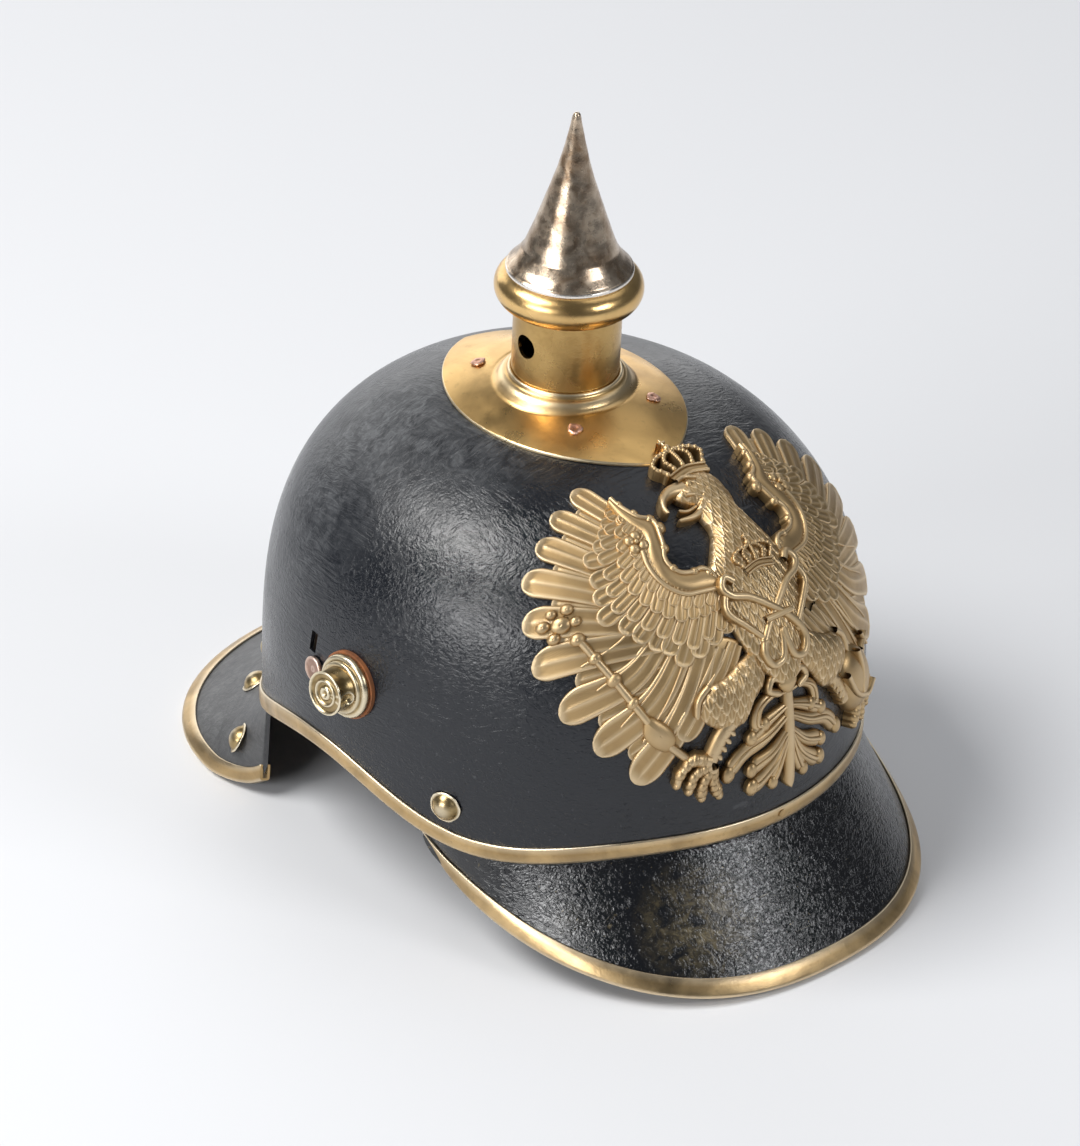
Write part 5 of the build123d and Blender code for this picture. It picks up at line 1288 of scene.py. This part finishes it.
stem = [(-13.2, -8), (-15.4, -14), (-11, -20), (-6.4, -25.4)]
for way in (1, -1):
    path = [(MIDDLE + way * (x - MIDDLE), w) for x, w in knot]
    regalia.append(strip(path, 2.5, 5.0 + 0.25 * way, 1.5, steps=120))
    path = [(MIDDLE + way * x, w) for x, w in stem]
    regalia.append(strip(path, 2.2, 4.2, 1.5, steps=60))
    regalia.append(bead_at(MIDDLE + way * (-6.6), -25.8, 1.7, 4.8, 1.5))
regalia.append(strip([(-4.4, -20.4), (6, -20.4)], 2.0, 6.0, 1.1))
sceptre = [(-55.6, -1.5), (-53.1, -9.9), (-50.3, -18.2), (-47.1, -26.8), (-44, -34), (-39.8, -42),
           (-34.6, -48.6)]
regalia.append(strip(sceptre, 2.1, 1.7, 1.3, steps=80, tip=False))
for x, w, r in ((-53.1, -9.9, 1.8), (-50.3, -18.2, 2.0), (-47.1, -26.8, 1.7), (-55.4, -2.6, 2.0)):
    regalia.append(bead_at(x, w, r, 1.9, 1.6))
for x, w, r in (
    (-57.6, 3.4, 2.6), (-61.6, 5.2, 1.8), (-60.4, 0.6, 1.7), (-54.6, 6.9, 1.8), (-54.0, 2.6, 1.6),
    (-58.6, 7.6, 1.5),
):
    regalia.append(bead_at(x, w, r, 1.6, 1.5))
grip = [(-44.9, -32.6), (-42.4, -33.6), (-38.4, -38.4), (-37.2, -42.6), (-39.8, -44.4), (-43.4, -41.4),
        (-45.6, -37)]
regalia.append(medal(grip, (-41.4, -38.6), 1.9, 1.8))
ORB_X, ORB_W, ORB = 35, -47.5, 9.6
around = np.linspace(0, 2 * np.pi, 16, endpoint=False)
orb = np.stack([ORB_X + ORB * np.cos(around), ORB_W + ORB * np.sin(around)], -1)
regalia.append(medal(orb, (ORB_X, ORB_W), 1.2, 5.0))
regalia.append(strip([(26, -45), (31, -50.5), (38.5, -52), (44, -48.5)], 2.0, 5.0, 1.2, steps=50))
regalia.append(strip([(32.5, -39), (34.4, -44), (34.4, -51)], 1.7, 5.3, 1.1, steps=50))
regalia.append(strip([(41, -40), (45.4, -35.4)], 1.8, 1.8, 1.6))
regalia.append(strip([(41.6, -35.6), (45.4, -39.2)], 1.7, 1.8, 1.6))
# The eagle's brass has noise stains, and its worn values brighten the crests over a base kept dark for the
# hollows. The colour is partly real wear and partly painted shade.
brass = Finish("eagle_brass_relief_wear_and_shade")
stain = brass.ramp(brass.noise(40, 6, distortion=0.5), 0.4, 0.7)
# Painted shade: the base brass colour here is darkened to stand for shade in the recesses of the relief; the
# noise stains over it are real.
tone = brass.mix(brass.math("MULTIPLY", stain, 0.6), (0.49, 0.335, 0.16), (0.27, 0.175, 0.082))
tone = brass.use(EDGE_WEAR, {"Colour": tone, "Bright": (0.86, 0.69, 0.45), "Amount": 0.8})["Colour"]
barbs = brass.math("SINE", brass.math("MULTIPLY", brass.attribute("barb"), 6.2832), 0.0)
texture = brass.bump(brass.noise(1300, 3), 0.00003, 0.8, brass.bump(barbs, 0.00002, 0.6))
rough = brass.ramp(brass.noise(120, 4), 0.3, 0.7, 0.36, 0.5)
eagle_wear_and_shade_finish = brass.done(tone, rough, texture, metallic=0.95)
piece("eagle_wings_relief", eagle_wings, eagle_wear_and_shade_finish, ["eagle_plate"])
piece("eagle_body_relief", eagle_body, eagle_wear_and_shade_finish)
piece("eagle_limbs_relief", limbs, eagle_wear_and_shade_finish)
piece("eagle_regalia_relief", regalia, eagle_wear_and_shade_finish)
keep("eagle_posts", rivet_brass)
keep("eagle_nuts", rivet_brass)


# Floor, light and camera
# A wide pale floor, four soft boxes and a backdrop light, a dim pale room, and the camera that
# was fitted to the photograph.
floor_mesh = bpy.data.meshes.new("floor")
floor_mesh.from_pydata([(-6, -6, 0), (6, -6, 0), (6, 6, 0), (-6, 6, 0)], [], [(0, 1, 2, 3)])
floor = bpy.data.objects.new("floor", floor_mesh)
bpy.context.scene.collection.objects.link(floor)
pale = Finish("pale_floor").done((0.735, 0.745, 0.77), 0.85, specular_ior_level=0.2)
floor_mesh.materials.append(pale)


def soft_light(name, turn, rise, distance, width, height, watts, colour=(1, 1, 1)):
    """An area light at a compass turn and a rise over the helmet, aimed at it."""
    light = bpy.data.lights.new(name, "AREA")
    light.shape, light.size, light.size_y, light.energy = "RECTANGLE", width, height, watts
    light.color = colour
    obj = bpy.data.objects.new(name, light)
    a, e = np.radians(turn), np.radians(rise)
    way = np.array([np.sin(a) * np.cos(e), np.cos(a) * np.cos(e), np.sin(e)])
    obj.location = way * distance + np.array([0, 0, 0.08])
    obj.rotation_euler = Vector(way).to_track_quat("Z", "Y").to_euler()
    bpy.context.scene.collection.objects.link(obj)


soft_light("softbox_left", -64, 55, 2.2, 1.3, 0.95, 43, (1.0, 0.99, 0.97))
soft_light("softbox_left_low", -95, 20, 2.2, 1.25, 0.55, 22)
soft_light("softbox_front_right", 163, 31, 2.2, 0.8, 0.55, 11, (0.97, 0.98, 1.0))
soft_light("softbox_high_right", 90, 64, 2.2, 1.8, 1.4, 6)
soft_light("backdrop", 25, 18, 2.4, 3.0, 1.5, 24)

world = bpy.data.worlds.new("room")
bpy.context.scene.world = world
world.use_nodes = True
room = world.node_tree.nodes["Background"]
room.inputs["Color"].default_value = (0.86, 0.90, 0.96, 1)
room.inputs["Strength"].default_value = 0.13

CAM_TURN, CAM_RISE, CAM_FAR, CAM_LENS = np.radians(40.27), np.radians(30.06), 1.4528, 138.88
AIM_ACROSS, AIM_UP = -0.00383, 0.03412
camera = bpy.data.cameras.new("photo_camera")
camera.lens, camera.sensor_width, camera.sensor_fit = CAM_LENS, 36.0, "AUTO"
photo = bpy.data.objects.new("photo_camera", camera)
level = np.array([np.cos(CAM_TURN), -np.sin(CAM_TURN), 0])
away = np.array([-np.sin(CAM_TURN), -np.cos(CAM_TURN), 0])
back = away * np.cos(CAM_RISE) + (0, 0, np.sin(CAM_RISE))
aim = level * AIM_ACROSS + (0, SHIFT / 1000, AIM_UP + STAND / 1000)
photo.location = aim + back * CAM_FAR
photo.rotation_euler = (np.pi / 2 - CAM_RISE, 0, -CAM_TURN)
bpy.context.scene.collection.objects.link(photo)
bpy.context.scene.camera = photo
bpy.context.scene.view_settings.view_transform = "Standard"
